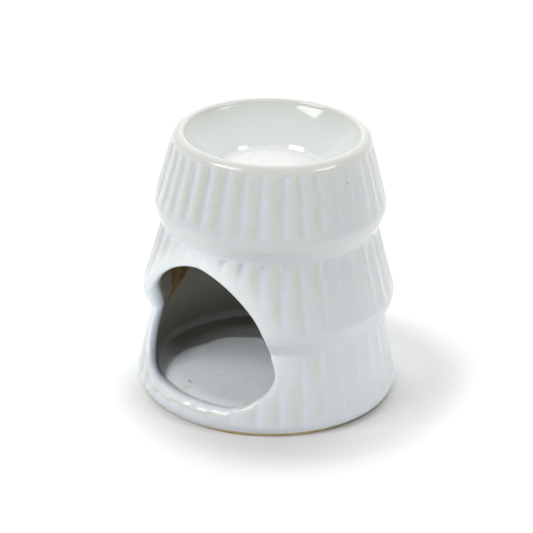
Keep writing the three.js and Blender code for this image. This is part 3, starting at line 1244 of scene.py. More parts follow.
@dataclass
class FootRing:
    """The ring of bare clay under the base, with a bevelled rim and softened corners."""

    height: float
    floor_low: float
    name: str = "foot_ring_bare"
    columns: int = 272
    bore: float = 38.5
    sole: float = 47.0
    rim: float = 47.75
    collar: float = 43.4
    corner: float = 0.25

    def build(self) -> bpy.types.Object:
        """Makes the ring.

        Returns:
            The finished object.
        """
        c = self.corner
        top, collar_top = self.height - SEAM, self.floor_low - SEAM
        rows = np.array(
            [
                [self.collar, collar_top],
                [self.bore, collar_top],
                [self.bore, c],
                [self.bore + 0.3 * c, 0.3 * c],
                [self.bore + c, 0.0],
                [self.sole - c, 0.0],
                [self.sole, 0.1 * c],
                [self.sole + c, 0.5 * c],
                [self.rim - 0.4 * c, top - 1.2 * c],
                [self.rim, top - 0.5 * c],
                [self.rim, top],
                [self.collar, top],
                [self.collar, collar_top],
            ]
        )
        return closed_mesh(self.name, [lathe(rows, self.columns)])


# Finishes


def tint(code: str) -> tuple[float, float, float, float]:
    """A colour written as rrggbb in sRGB, as linear values with full alpha.

    Args:
        code: Six hexadecimal digits.

    Returns:
        Red, green, blue and alpha.
    """
    srgb = np.array([int(code[k : k + 2], 16) for k in (0, 2, 4)]) / 255.0
    linear = np.where(srgb <= 0.04045, srgb / 12.92, ((srgb + 0.055) / 1.055) ** 2.4)
    return (float(linear[0]), float(linear[1]), float(linear[2]), 1.0)


class Board:
    """Adds nodes to one node tree and links their sockets."""

    def __init__(self, tree: bpy.types.NodeTree) -> None:
        """Keeps the tree that the nodes go into."""
        self.tree = tree

    def put(self, socket: bpy.types.NodeSocket, value: Any) -> None:
        """Links a socket to an input, or sets the input to a plain value.

        Args:
            socket: The input.
            value: A socket or a plain value.
        """
        if isinstance(value, bpy.types.NodeSocket):
            self.tree.links.new(value, socket)
        else:
            socket.default_value = value

    def add(
        self, kind: str, inputs: dict[Any, Any] | None = None, **settings: Any
    ) -> bpy.types.Node:
        """Adds a node.

        Args:
            kind: The node's type.
            inputs: Values or sockets for its inputs, by name or index.
            **settings: The node's own settings.

        Returns:
            The node.
        """
        node = self.tree.nodes.new(kind)
        for key, value in settings.items():
            setattr(node, key, value)
        for key, value in (inputs or {}).items():
            self.put(node.inputs[key], value)
        return node

    def math(self, operation: str, *values: Any) -> bpy.types.NodeSocket:
        """Result of a Math node on values or sockets."""
        return self.add("ShaderNodeMath", dict(enumerate(values)), operation=operation).outputs[0]

    def mix(self, share: Any, first: Any, second: Any) -> bpy.types.NodeSocket:
        """Colour between two colours: the first at a share of 0 and the second at 1."""
        inputs = {0: share, 6: first, 7: second}
        return self.add("ShaderNodeMix", inputs, data_type="RGBA").outputs[2]

    def blend(self, share: Any, first: Any, second: Any) -> bpy.types.NodeSocket:
        """Number between two numbers, as mix does for colours."""
        inputs = {0: share, 2: first, 3: second}
        return self.add("ShaderNodeMix", inputs, data_type="FLOAT").outputs[0]

    def ramp(self, value: Any, low: float, high: float) -> bpy.types.NodeSocket:
        """Smooth step from 0 at low to 1 at high.

        Args:
            value: A value or socket.
            low: Where the step starts.
            high: Where it ends, which may be below low.

        Returns:
            The step's output.
        """
        inputs = {"Value": value, "From Min": low, "From Max": high}
        node = self.add("ShaderNodeMapRange", inputs, interpolation_type="SMOOTHSTEP")
        return node.outputs["Result"]

    def noise(
        self, place: Any, scale: float, detail: float = 3.0, rough: float = 0.5
    ) -> bpy.types.NodeSocket:
        """Noise from 0 to 1 at a place, with scale in waves per metre."""
        inputs = {"Vector": place, "Scale": scale, "Detail": detail, "Roughness": rough}
        return self.add("ShaderNodeTexNoise", inputs).outputs[0]

    def stirred(
        self, place: Any, scale: float, detail: float = 3.0, rough: float = 0.5
    ) -> bpy.types.NodeSocket:
        """Noise from -0.5 to 0.5, as noise gives it."""
        return self.math("SUBTRACT", self.noise(place, scale, detail, rough), 0.5)

    def axes(self, place: Any) -> Any:
        """The three parts of a place."""
        return self.add("ShaderNodeSeparateXYZ", {0: place}).outputs

    def scaled(self, place: Any, scale: tuple[float, float, float]) -> bpy.types.NodeSocket:
        """A place with each axis scaled by itself."""
        return self.add("ShaderNodeMapping", {"Vector": place, "Scale": scale}).outputs[0]

    def mark(self, name: str) -> bpy.types.NodeSocket:
        """One of the marks that the vertices carry."""
        return self.add("ShaderNodeAttribute", attribute_name=name).outputs["Fac"]


class ShaderGroup:
    """A node group with named inputs and outputs, built once and placed in materials."""

    title: str = ""
    inputs: tuple[tuple[str, str], ...] = ()
    outputs: tuple[tuple[str, str], ...] = ()

    def tree(self) -> bpy.types.NodeTree:
        """The group's tree, which is built on first use.

        Returns:
            The tree.
        """
        found = bpy.data.node_groups.get(self.title)
        if found is not None:
            return found
        tree = bpy.data.node_groups.new(self.title, "ShaderNodeTree")
        for way, sockets in (("INPUT", self.inputs), ("OUTPUT", self.outputs)):
            for name, kind in sockets:
                tree.interface.new_socket(name=name, in_out=way, socket_type=kind)
        board = Board(tree)
        given = board.add("NodeGroupInput").outputs
        made = self.build(board, given)
        board.add("NodeGroupOutput", made)
        return tree

    def build(self, board: Board, given: Any) -> dict[str, Any]:
        """Adds the group's nodes and returns what each output takes."""
        raise NotImplementedError

    def place(self, board: Board, **values: Any) -> Any:
        """Places the group in a material.

        Args:
            board: The material's board.
            **values: Values or sockets for the inputs, with _ for a space in a name.

        Returns:
            The placed node's outputs.
        """
        inputs = {name.replace("_", " "): value for name, value in values.items()}
        node = board.tree.nodes.new("ShaderNodeGroup")
        node.node_tree = self.tree()
        for name, value in inputs.items():
            board.put(node.inputs[name], value)
        return node.outputs


FLOAT, COLOUR, VECTOR = "NodeSocketFloat", "NodeSocketColor", "NodeSocketVector"


class GlazeBreak(ShaderGroup):
    """Where the glaze breaks: thin and olive on ridges, cream on edges, blue where it pools.

    The relief mark, stirred by blotches and by streaks that run down the wall, chooses
    between groove, body and ridge colours. A line of the rim colour, with the strength
    Line, follows the edge mark, and wanders as far as Ragged says. The noises' scales are
    in waves per metre.
    """

    blotches = 240.0
    streaks = 520.0
    streak_stretch = (1.0, 1.0, 0.14)
    blotch_share = 0.45
    wandering = 210.0
    fine_grain = 900.0
    ridge_relief = (0.55, 1.10)
    groove_relief = (0.50, 0.02)
    line_reach = (0.42, 0.10)
    pool_share = 0.7
    line_share = 0.85
    roughness = (0.06, 0.08)
    line_roughness = 0.08

    title = "glaze break"
    inputs = (
        ("Place", VECTOR), ("Relief", FLOAT), ("Pool", FLOAT), ("Edge", FLOAT), ("Inside", FLOAT),
        ("Line", FLOAT), ("Ragged", FLOAT), ("Body", COLOUR), ("Ridge", COLOUR),
        ("Groove", COLOUR), ("Pooled", COLOUR), ("Rim", COLOUR), ("Shade", COLOUR),
    )  # fmt: skip
    outputs = (("Colour", COLOUR), ("Roughness", FLOAT))

    def build(self, board: Board, given: Any) -> dict[str, Any]:
        """Adds the group's nodes.

        Args:
            board: The group's board.
            given: The group's inputs.

        Returns:
            What each output takes.
        """
        place = given["Place"]
        blotch = board.stirred(place, self.blotches, 4.0, 0.6)
        streak = board.stirred(board.scaled(place, self.streak_stretch), self.streaks)
        stir = board.math("MULTIPLY_ADD", blotch, self.blotch_share, streak)
        relief = board.math("ADD", given["Relief"], stir)
        colour = board.mix(board.ramp(relief, *self.ridge_relief), given["Body"], given["Ridge"])
        colour = board.mix(board.ramp(relief, *self.groove_relief), colour, given["Groove"])
        pool = board.math("MULTIPLY", given["Pool"], self.pool_share)
        colour = board.mix(pool, colour, given["Pooled"])
        wander = board.stirred(place, self.wandering, 2.0)
        edge = board.math("MULTIPLY_ADD", wander, given["Ragged"], given["Edge"])
        near = board.ramp(board.math("ABSOLUTE", edge), *self.line_reach)
        line = board.math("MULTIPLY", near, given["Line"])
        shown = board.math("MULTIPLY", line, self.line_share)
        colour = board.mix(shown, colour, given["Rim"])
        # Painted shade: where the inside mark is 1 the colour turns to Shade, a darker tone in
        # place of the dimness in the chamber and on hidden faces.
        colour = board.mix(given["Inside"], colour, given["Shade"])
        fine = board.noise(place, self.fine_grain, 2.0)
        rough = board.math("MULTIPLY_ADD", fine, *self.roughness)
        rough = board.math("MULTIPLY_ADD", line, self.line_roughness, rough)
        return {"Colour": colour, "Roughness": rough}


class GlazeSkin(ShaderGroup):
    """Fired surface of a glaze: slow ripples, orange peel and a few pinholes.

    The height is in units of the Bump node's distance. A pinhole is a small dip, as deep
    as Pits says, at the middle of a cell where the cell's own random value is high.
    """

    ripples = 130.0
    peels = 1400.0
    cells = 105.0
    pinhole_reach = (0.030, 0.012)
    pinhole_from = 0.93
    pinhole_depth = -0.6

    title = "glaze skin"
    inputs = (("Place", VECTOR), ("Ripple", FLOAT), ("Peel", FLOAT), ("Pits", FLOAT))
    outputs = (("Height", FLOAT), ("Pinhole", FLOAT))

    def build(self, board: Board, given: Any) -> dict[str, Any]:
        """Adds the group's nodes.

        Args:
            board: The group's board.
            given: The group's inputs.

        Returns:
            What each output takes.
        """
        place = given["Place"]
        ripple = board.math("MULTIPLY", board.noise(place, self.ripples, 2.0), given["Ripple"])
        peel = board.math("MULTIPLY", board.noise(place, self.peels, 1.0), given["Peel"])
        inputs = {"Vector": place, "Scale": self.cells, "Randomness": 1.0}
        cell = board.add("ShaderNodeTexVoronoi", inputs).outputs
        own = board.add("ShaderNodeSeparateColor", {0: cell["Color"]}).outputs[0]
        chosen = board.math("GREATER_THAN", own, self.pinhole_from)
        near = board.ramp(cell["Distance"], *self.pinhole_reach)
        pinhole = board.math("MULTIPLY", board.math("MULTIPLY", near, chosen), given["Pits"])
        height = board.math("ADD", ripple, peel)
        height = board.math("MULTIPLY_ADD", pinhole, self.pinhole_depth, height)
        return {"Height": height, "Pinhole": pinhole}


class ClayGrain(ShaderGroup):
    """Bare fired clay: sandy grain, darker iron specks and slow stains."""

    stains = 160.0
    grains = 2600.0
    stain_ramp = (0.35, 0.7)
    iron_ramp = (0.60, 0.74)

    title = "clay grain"
    inputs = (("Place", VECTOR), ("Light", COLOUR), ("Dark", COLOUR), ("Iron", COLOUR))
    outputs = (("Colour", COLOUR), ("Height", FLOAT))

    def build(self, board: Board, given: Any) -> dict[str, Any]:
        """Adds the group's nodes.

        Args:
            board: The group's board.
            given: The group's inputs.

        Returns:
            What each output takes.
        """
        place = given["Place"]
        stain = board.ramp(board.noise(place, self.stains, 4.0, 0.6), *self.stain_ramp)
        grain = board.noise(place, self.grains, 3.0, 0.7)
        colour = board.mix(stain, given["Light"], given["Dark"])
        colour = board.mix(board.ramp(grain, *self.iron_ramp), colour, given["Iron"])
        return {"Colour": colour, "Height": grain}


def surface(name: str) -> tuple[bpy.types.Material, Board, bpy.types.Node, bpy.types.NodeSocket]:
    """Starts a material with a Principled BSDF.

    Args:
        name: The material's name.

    Returns:
        The material, its board, its shader node and its Object coordinates.
    """
    material = bpy.data.materials.new(name)
    material.use_nodes = True
    board = Board(material.node_tree)
    shader = material.node_tree.nodes["Principled BSDF"]
    place = board.add("ShaderNodeTexCoord").outputs["Object"]
    return material, board, shader, place


def bumped(board: Board, height: Any, distance: float) -> bpy.types.NodeSocket:
    """Normal of a Bump node for a height, where distance is one unit of height in metres."""
    inputs = {"Height": height, "Distance": distance, "Strength": 1.0}
    return board.add("ShaderNodeBump", inputs).outputs["Normal"]


@dataclass(frozen=True)
class Speck:
    """A small mark in a glaze: its place and size, and how torn its edge is, in millimetres."""

    place: tuple[float, float, float]
    radius: float
    colour: str
    torn: float = 0.5


def specked(
    board: Board, place: bpy.types.NodeSocket, specks: Sequence[Speck], colour: Any
) -> bpy.types.NodeSocket:
    """Lays small marks over a colour.

    Args:
        board: The material's board.
        place: Its Object coordinates.
        specks: The marks.
        colour: The glaze's colour.

    Returns:
        The colour with the marks.
    """
    torn = board.stirred(place, 900.0, 3.0, 0.6)
    for speck in specks:
        centre = tuple(value * MM for value in speck.place)
        away = board.add("ShaderNodeVectorMath", {0: place, 1: centre}, operation="DISTANCE")
        wide = board.math("MULTIPLY_ADD", torn, speck.torn * MM, away.outputs["Value"])
        here = board.ramp(wide, speck.radius * MM, 0.5 * speck.radius * MM)
        colour = board.mix(here, colour, tint(speck.colour))
    return colour


@dataclass(frozen=True)
class WhiteGlaze:
    """The tiers' white glaze, outside and in the chamber, with its patch of bare clay.

    The glaze is cooler towards the foot and paler there, the paleness painted light from
    the floor's bounce, and greyer on the shoulder. In the chamber it is dull, and a darker
    brownish painted shade stands in for the dimness there; this shade is paler in the
    fillet, a painted highlight of its glossy line, and most so behind the sill, painted
    light over the crease that the sill shades. The line on the crest is fine and even, and
    the one along the sill wanders. Levels and sides are where each of these fades in, in
    metres.
    """

    body: str = "d3d7d8"
    # low_body, low_ridge and low_groove are paler and cooler: the paleness is painted light from
    # the floor's bounce.
    low_body: str = "d9dee1"
    shoulder: str = "d8dad5"
    ridge: str = "cfd2c9"
    low_ridge: str = "d6dad3"
    groove: str = "d9dee5"
    low_groove: str = "e0e5ec"
    pooled: str = "d9e2e9"
    line: str = "d2cab2"
    rim: str = "e2e5de"
    pit: str = "cbc6b6"
    # Painted shade: the dark brownish tone of the chamber's wall, in place of its dimness.
    shade: str = "aeaaa1"
    # Painted highlight: a paler painted shade low in the chamber, for the fillet's glossy line.
    fillet: str = "c8cbce"
    # Painted light: a paler painted shade behind the sill, over the crease that the sill shades.
    sill_crease_painted_light: str = "c6cfd7"
    clay: str = "a38c5e"
    iron: str = "7d6639"
    low_levels: tuple[float, float] = (0.062, 0.012)
    shoulder_levels: tuple[float, float] = (0.094, 0.099)
    crest_levels: tuple[float, float] = (0.090, 0.095)
    line_levels: tuple[float, float] = (0.0295, 0.0265)
    line_lean: float = -0.1
    ragged_side: tuple[float, float] = (0.012, -0.006)
    ragged: tuple[float, float] = (0.8, 3.0)
    crest_ragged: float = 0.1
    fillet_highlight_levels: tuple[float, float] = (0.0088, 0.0066)
    sill_side: tuple[float, float] = (-0.022, -0.032)
    sill_levels: tuple[float, float] = (0.013, 0.009)
    clay_edge: tuple[float, float] = (-0.12, 0.12)
    clay_tears: float = 420.0
    clay_torn: float = 2.2
    clay_roughness: float = 0.85
    inside_roughness: float = 0.3
    ripple: float = 0.5
    peel: float = 0.10
    skin: float = 0.00012
    ior: float = 1.5
    specks: tuple[Speck, ...] = (
        Speck((39.7, 10.0, 68.1), 0.9, "b5ad95", 1.6),
        Speck((37.2, 15.4, 65.5), 0.8, "b5ad95", 1.6),
        Speck((40.5, -9.2, 69.5), 1.1, "dad5c2", 1.4),
        Speck((38.1, -3.5, 92.7), 0.45, "8f8a7c"),
    )

    def broken(self, board: Board, place: bpy.types.NodeSocket) -> Any:
        """Places the glaze break with this glaze's tints.

        Args:
            board: The material's board.
            place: Its Object coordinates.

        Returns:
            The placed node's outputs.
        """
        x, y, z = board.axes(place)
        # down grows towards the foot, where the tints turn paler as painted light from the floor's
        # bounce.
        down = board.ramp(z, *self.low_levels)
        shoulder = board.ramp(z, *self.shoulder_levels)
        crest = board.ramp(z, *self.crest_levels)
        sill = board.ramp(board.math("MULTIPLY_ADD", x, self.line_lean, z), *self.line_levels)
        ragged = board.blend(board.ramp(x, *self.ragged_side), *self.ragged)
        body = board.mix(down, tint(self.body), tint(self.low_body))
        # Behind the sill and low down the painted shade turns paler, painted light over the sill's
        # shade.
        near = board.ramp(y, *self.sill_side)
        behind = board.math("MULTIPLY", near, board.ramp(z, *self.sill_levels))
        # The chamber's painted shade, paler in the fillet as a painted highlight.
        shade = board.mix(board.ramp(z, *self.fillet_highlight_levels), tint(self.shade), tint(self.fillet))
        return GlazeBreak().place(
            board,
            Place=place,
            Relief=board.mark("relief"),
            Pool=board.mark("pool"),
            Edge=board.mark("edge"),
            Inside=board.mark("inside"),
            Line=board.math("MAXIMUM", sill, crest),
            Ragged=board.blend(crest, ragged, self.crest_ragged),
            Body=board.mix(shoulder, body, tint(self.shoulder)),
            Ridge=board.mix(down, tint(self.ridge), tint(self.low_ridge)),
            Groove=board.mix(down, tint(self.groove), tint(self.low_groove)),
            Pooled=tint(self.pooled),
            Rim=board.mix(crest, tint(self.line), tint(self.rim)),
            Shade=board.mix(behind, shade, tint(self.sill_crease_painted_light)),
        )

    def material(self) -> bpy.types.Material:
        """Builds the finish.

        Returns:
            The material.
        """
        material, board, shader, place = surface("white_glaze_broken")
        glaze = self.broken(board, place)
        skin = GlazeSkin().place(board, Place=place, Ripple=self.ripple, Peel=self.peel, Pits=1.0)
        clay = ClayGrain().place(
            board, Place=place, Light=tint(self.clay), Dark=tint(self.iron), Iron=tint(self.iron)
        )
        torn = board.stirred(place, self.clay_tears, 4.0, 0.65)
        edge = board.math("MULTIPLY_ADD", torn, self.clay_torn, board.mark("bare"))
        bare = board.ramp(edge, *self.clay_edge)
        colour = board.mix(skin["Pinhole"], glaze["Colour"], tint(self.pit))
        colour = specked(board, place, self.specks, colour)
        board.put(shader.inputs["Base Color"], board.mix(bare, colour, clay["Colour"]))
        rough = board.blend(board.mark("inside"), glaze["Roughness"], self.inside_roughness)
        board.put(shader.inputs["Roughness"], board.blend(bare, rough, self.clay_roughness))
        board.put(shader.inputs["Normal"], bumped(board, skin["Height"], self.skin))
        shader.inputs["IOR"].default_value = self.ior
        return material


@dataclass(frozen=True)
class DishGlaze:
    """The smoother, whiter glaze of the dish, palest on its floor and warmer near its lip.

    Its floor's palest tint is painted light, in place of the light and reflection that fall
    on it from above. Cream and blue clouds drift through it, a pale line follows the lip,
    and a painted highlight follows the ring at the floor, in place of the lamps' reflection
    there. Levels are where a tint fades in, in metres.
    """

    body: str = "dce0e0"
    # Painted light: the dish floor's palest tint, in place of the light and reflection from above.
    floor: str = "eeefed"
    upper: str = "dbded7"
    cream: str = "dddfda"
    blue: str = "dce1e5"
    rim: str = "e2e5dd"
    # Painted shade for the dish's hidden underside.
    shade: str = "9c9890"
    floor_light_levels: tuple[float, float] = (0.0885, 0.0868)
    upper_levels: tuple[float, float] = (0.0930, 0.0995)
    clouds: float = 45.0
    cloud_relief: tuple[float, float] = (0.4, 0.27)
    pits: float = 0.4
    gloss: float = 0.8
    ripple: float = 0.35
    peel: float = 0.05
    skin: float = 0.00010
    ior: float = 1.5

    def material(self) -> bpy.types.Material:
        """Builds the finish.

        Returns:
            The material.
        """
        material, board, shader, place = surface("dish_glaze_smooth")
        slow = board.noise(place, self.clouds)
        height = board.axes(place)[2]
        # The floor is painted palest, painted light from above.
        body = board.mix(board.ramp(height, *self.floor_light_levels), tint(self.body), tint(self.floor))
        body = board.mix(board.ramp(height, *self.upper_levels), body, tint(self.upper))
        glaze = GlazeBreak().place(
            board,
            Place=place,
            Relief=board.math("MULTIPLY_ADD", slow, *self.cloud_relief),
            Pool=0.0,
            Edge=board.mark("edge"),
            Inside=board.mark("inside"),
            Line=1.0,
            Ragged=0.1,
            Body=body,
            Ridge=tint(self.cream),
            Groove=tint(self.blue),
            Pooled=tint(self.blue),
            Rim=tint(self.rim),
            Shade=tint(self.shade),
        )
        marks = {"Ripple": self.ripple, "Peel": self.peel, "Pits": self.pits}
        skin = GlazeSkin().place(board, Place=place, **marks)
        colour = board.mix(skin["Pinhole"], glaze["Colour"], tint(self.cream))
        board.put(shader.inputs["Base Color"], colour)
        rough = board.math("MULTIPLY", glaze["Roughness"], self.gloss)
        board.put(shader.inputs["Roughness"], rough)
        board.put(shader.inputs["Normal"], bumped(board, skin["Height"], self.skin))
        shader.inputs["IOR"].default_value = self.ior
        return material


@dataclass(frozen=True)
class FloorGlaze:
    """The chamber floor's glaze: grey-white, smudged, with a few specks near the door.

    Near the wall at the back a painted shadow darkens it, in place of the shadow that falls
    there. Behind the sill it is pooled and pale, the paleness partly painted light over the
    sill's shadow. A reach is a distance from the axis and a side a place along Y, both in
    metres.
    """

    body: str = "e2e8ed"
    smudge: str = "dcdfe0"
    # Pooled glaze behind the sill, pale enough to be partly painted light over the sill's shadow.
    pooled: str = "f3f7fb"
    # Painted shadow: darker floor near the wall at the back, in place of the shadow that falls
    # there.
    back_painted_shadow: str = "a19d96"
    back_shadow_reach: tuple[float, float] = (0.028, 0.037)
    back_shadow_side: tuple[float, float] = (-0.024, -0.006)
    pooled_reach: tuple[float, float] = (0.031, 0.038)
    pooled_side: tuple[float, float] = (-0.015, -0.028)
    smudges: float = 90.0
    smudge_ramp: tuple[float, float] = (0.45, 0.8)
    roughness: tuple[float, float] = (0.16, 0.22)
    ripple: float = 0.2
    peel: float = 0.08
    skin: float = 0.00008
    ior: float = 1.5
    specks: tuple[Speck, ...] = (
        Speck((-9.1, -35.4, 6.0), 1.8, "e3dfd0", 2.2),
        Speck((-11.8, -31.0, 6.0), 0.75, "a39a84", 0.8),
        Speck((-10.4, -31.7, 6.0), 0.55, "aaa28d", 0.8),
        Speck((-9.4, -31.4, 6.0), 0.35, "9c927b"),
        Speck((-9.3, 1.0, 6.0), 0.5, "8a8069"),
        Speck((13.4, -16.8, 6.0), 0.7, "f4f5f5"),
        Speck((16.2, -30.4, 6.0), 2.0, "e2dfd5", 2.6),
    )

    def material(self) -> bpy.types.Material:
        """Builds the finish.

        Returns:
            The material.
        """
        material, board, shader, place = surface("floor_glaze_smudged")
        blotch = board.noise(place, self.smudges, 4.0, 0.6)
        smudge = board.ramp(blotch, *self.smudge_ramp)
        colour = board.mix(smudge, tint(self.body), tint(self.smudge))
        x, y, _ = board.axes(place)
        squared = board.math("MULTIPLY_ADD", x, x, board.math("MULTIPLY", y, y))
        away = board.math("SQRT", squared)
        # A painted shadow at the back, then the pale pooled ring behind the sill, partly painted
        # light.
        for reach, side, shade in (
            (self.back_shadow_reach, self.back_shadow_side, self.back_painted_shadow),
            (self.pooled_reach, self.pooled_side, self.pooled),
        ):
            here = board.math("MULTIPLY", board.ramp(away, *reach), board.ramp(y, *side))
            colour = board.mix(here, colour, tint(shade))
        colour = specked(board, place, self.specks, colour)
        skin = GlazeSkin().place(board, Place=place, Ripple=self.ripple, Peel=self.peel, Pits=0.0)
        board.put(shader.inputs["Base Color"], colour)
        rough = board.math("MULTIPLY_ADD", blotch, *self.roughness)
        board.put(shader.inputs["Roughness"], rough)
        board.put(shader.inputs["Normal"], bumped(board, skin["Height"], self.skin))
        shader.inputs["IOR"].default_value = self.ior
        return material


@dataclass(frozen=True)
class BareClay:
    """Dry ochre stoneware of the foot, washed pale at one side, with a painted shadow at the other.

    The sides are places along the level direction across, in metres.
    """

    light: str = "cbb994"
    dark: str = "b39b6c"
    iron: str = "7d6238"
    washed: str = "d2cfc6"
    # Painted contact shadow: grey where the foot meets the floor on the shaded side.
    painted_contact_shadow: str = "8f8674"
    across: tuple[float, float] = (0.770, 0.638)
    washed_side: tuple[float, float] = (-0.014, -0.028)
    contact_shadow_side: tuple[float, float] = (0.014, 0.032)
    grain: float = 0.00006
    roughness: float = 0.88

    def material(self) -> bpy.types.Material:
        """Builds the finish.

        Returns:
            The material.
        """
        material, board, shader, place = surface("bare_clay_ochre")
        clay = ClayGrain().place(
            board, Place=place, Light=tint(self.light), Dark=tint(self.dark), Iron=tint(self.iron)
        )
        x, y, _ = board.axes(place)
        side = board.math("MULTIPLY", x, self.across[0])
        side = board.math("MULTIPLY_ADD", y, self.across[1], side)
        # The grey mix on one side is a painted contact shadow.
        washed, painted_contact_shadow = board.ramp(side, *self.washed_side), board.ramp(side, *self.contact_shadow_side)
        colour = board.mix(washed, clay["Colour"], tint(self.washed))
        colour = board.mix(painted_contact_shadow, colour, tint(self.painted_contact_shadow))
        board.put(shader.inputs["Base Color"], colour)
        board.put(shader.inputs["Normal"], bumped(board, clay["Height"], self.grain))
        shader.inputs["Roughness"].default_value = self.roughness
        return material


# Camera, lamps and floor


@dataclass(frozen=True)
class Softbox:
    """A lamp that faces its aim, placed by its azimuth from the camera's and its elevation.

    Angles are in degrees and lengths in metres. A spread below 180 makes a narrow beam as
    wide as the lamp, and mirrored says whether the glaze shows the lamp's reflection.
    """

    name: str
    azimuth: float
    elevation: float
    distance: float
    size: tuple[float, float]
    watts: float
    aim: tuple[float, float, float] = (0.0, 0.0, 0.05)
    spread: float = 180.0
    mirrored: bool = True


@dataclass(frozen=True)
class Studio:
    """Camera, lamps, white surroundings and floor.

    The camera looks at the middle of the burner from azimuth degrees towards +X of the
    door's axis. Lens, shift and roll bring the burner where the photograph has it. Two
    softboxes make the glaze's reflections, and a large one behind only lights. The door
    spot lights the chamber's floor, and the jamb spot the left jamb. The camera sees the
    floor as floor_seen, and beyond lift_reach it is lifted to white, while light that
    bounces off it sees floor_bounce.
    """

    azimuth: float = 39.65
    elevation: float = 24.63
    distance: float = 0.9
    target: tuple[float, float, float] = (0.0, 0.0, 0.05)
    focal_pixels: float = 2401.0
    frame_pixels: float = 533.0
    centre_pixels: tuple[float, float] = (269.28, 258.28)
    roll: float = 1.43
    sensor: float = 36.0
    ambient: float = 0.22
    floor_seen: float = 0.80
    floor_lift: float = 0.30
    lift_reach: tuple[float, float] = (0.052, 0.082)
    lift_centre: tuple[float, float, float] = (0.0085, 0.0070, 0.0)
    floor_bounce: float = 0.96
    floor_size: float = 8.0
    floor_roughness: float = 0.9
    floor_specular: float = 0.1
    clip: tuple[float, float] = (0.01, 50.0)
    lamps: tuple[Softbox, ...] = (
        Softbox("left_softbox", -61.0, 43.0, 1.5, (0.74, 0.60), 10.6),
        Softbox("right_softbox", 67.0, 31.0, 1.5, (0.70, 0.45), 7.2),
        Softbox("back_softbox", 180.0, 42.0, 2.2, (3.2, 2.2), 50.0, mirrored=False),
        Softbox(
            "door_spot", -40.5, 41.5, 0.5, (0.066, 0.050), 0.0024,
            aim=(0.0, -0.041, 0.0365), spread=1.8, mirrored=False,
        ),
        Softbox(
            "jamb_spot", 34.0, 5.0, 0.5, (0.010, 0.048), 0.0008,
            aim=(-0.0315, -0.0335, 0.038), spread=1.8, mirrored=False,
        ),
    )  # fmt: skip

    def toward(self, azimuth: float, elevation: float) -> Vector:
        """Unit vector towards an azimuth from the camera's own and an elevation, in degrees.

        Args:
            azimuth: Degrees to the right of the camera's own direction.
            elevation: Degrees above the horizon.

        Returns:
            The vector.
        """
        turn, lift = math.radians(azimuth + self.azimuth), math.radians(elevation)
        level = math.cos(lift)
        return Vector((math.sin(turn) * level, -math.cos(turn) * level, math.sin(lift)))

    def build(self) -> None:
        """Makes the camera, the lamps, the world and the floor."""
        self.camera()
        for lamp in self.lamps:
            self.lamp(lamp)
        self.world()
        self.floor()

    def camera(self) -> None:
        """Makes the scene's camera."""
        data = bpy.data.cameras.new("photo_camera")
        data.sensor_width = self.sensor
        data.lens = self.focal_pixels / self.frame_pixels * self.sensor
        middle = self.frame_pixels / 2
        data.shift_x = (middle - self.centre_pixels[0]) / self.frame_pixels
        data.shift_y = (self.centre_pixels[1] - middle) / self.frame_pixels
        data.clip_start, data.clip_end = self.clip
        camera = bpy.data.objects.new("photo_camera", data)
        back = self.toward(0.0, self.elevation)
        turn = back.to_track_quat("Z", "Y").to_matrix().to_4x4()
        roll = Matrix.Rotation(math.radians(self.roll), 4, "Z")
        place = Matrix.Translation(Vector(self.target) + back * self.distance)
        camera.matrix_world = place @ turn @ roll
        bpy.context.scene.collection.objects.link(camera)
        bpy.context.scene.camera = camera

    def lamp(self, box: Softbox) -> None:
        """Makes one softbox, or an oval one where its light spreads less than all round.

        Args:
            box: The lamp's settings.
        """
        data = bpy.data.lights.new(box.name, "AREA")
        data.shape = "RECTANGLE" if box.spread >= 180.0 else "ELLIPSE"
        data.size, data.size_y = box.size
        data.energy = box.watts
        data.spread = math.radians(box.spread)
        made = bpy.data.objects.new(box.name, data)
        out = self.toward(box.azimuth, box.elevation)
        turn = out.to_track_quat("Z", "Y").to_matrix().to_4x4()
        made.matrix_world = Matrix.Translation(Vector(box.aim) + out * box.distance) @ turn
        made.visible_glossy = box.mirrored
        bpy.context.scene.collection.objects.link(made)

    def seen(self, board: Board) -> bpy.types.NodeSocket:
        """1 for rays from the camera, mirrors and glass, and 0 for those that light.

        Args:
            board: The material's board.

        Returns:
            The mask.
        """
        path = board.add("ShaderNodeLightPath").outputs
        either = board.math("MAXIMUM", path["Is Camera Ray"], path["Is Glossy Ray"])
        return board.math("MAXIMUM", either, path["Is Transmission Ray"])

    def world(self) -> None:
        """White surroundings that light the burner at the ambient level."""
        world = bpy.data.worlds.new("white_surroundings")
        world.use_nodes = True
        board = Board(world.node_tree)
        background = world.node_tree.nodes["Background"]
        background.inputs["Color"].default_value = (1.0, 1.0, 1.0, 1.0)
        board.put(background.inputs["Strength"], board.blend(self.seen(board), self.ambient, 1.0))
        bpy.context.scene.world = world

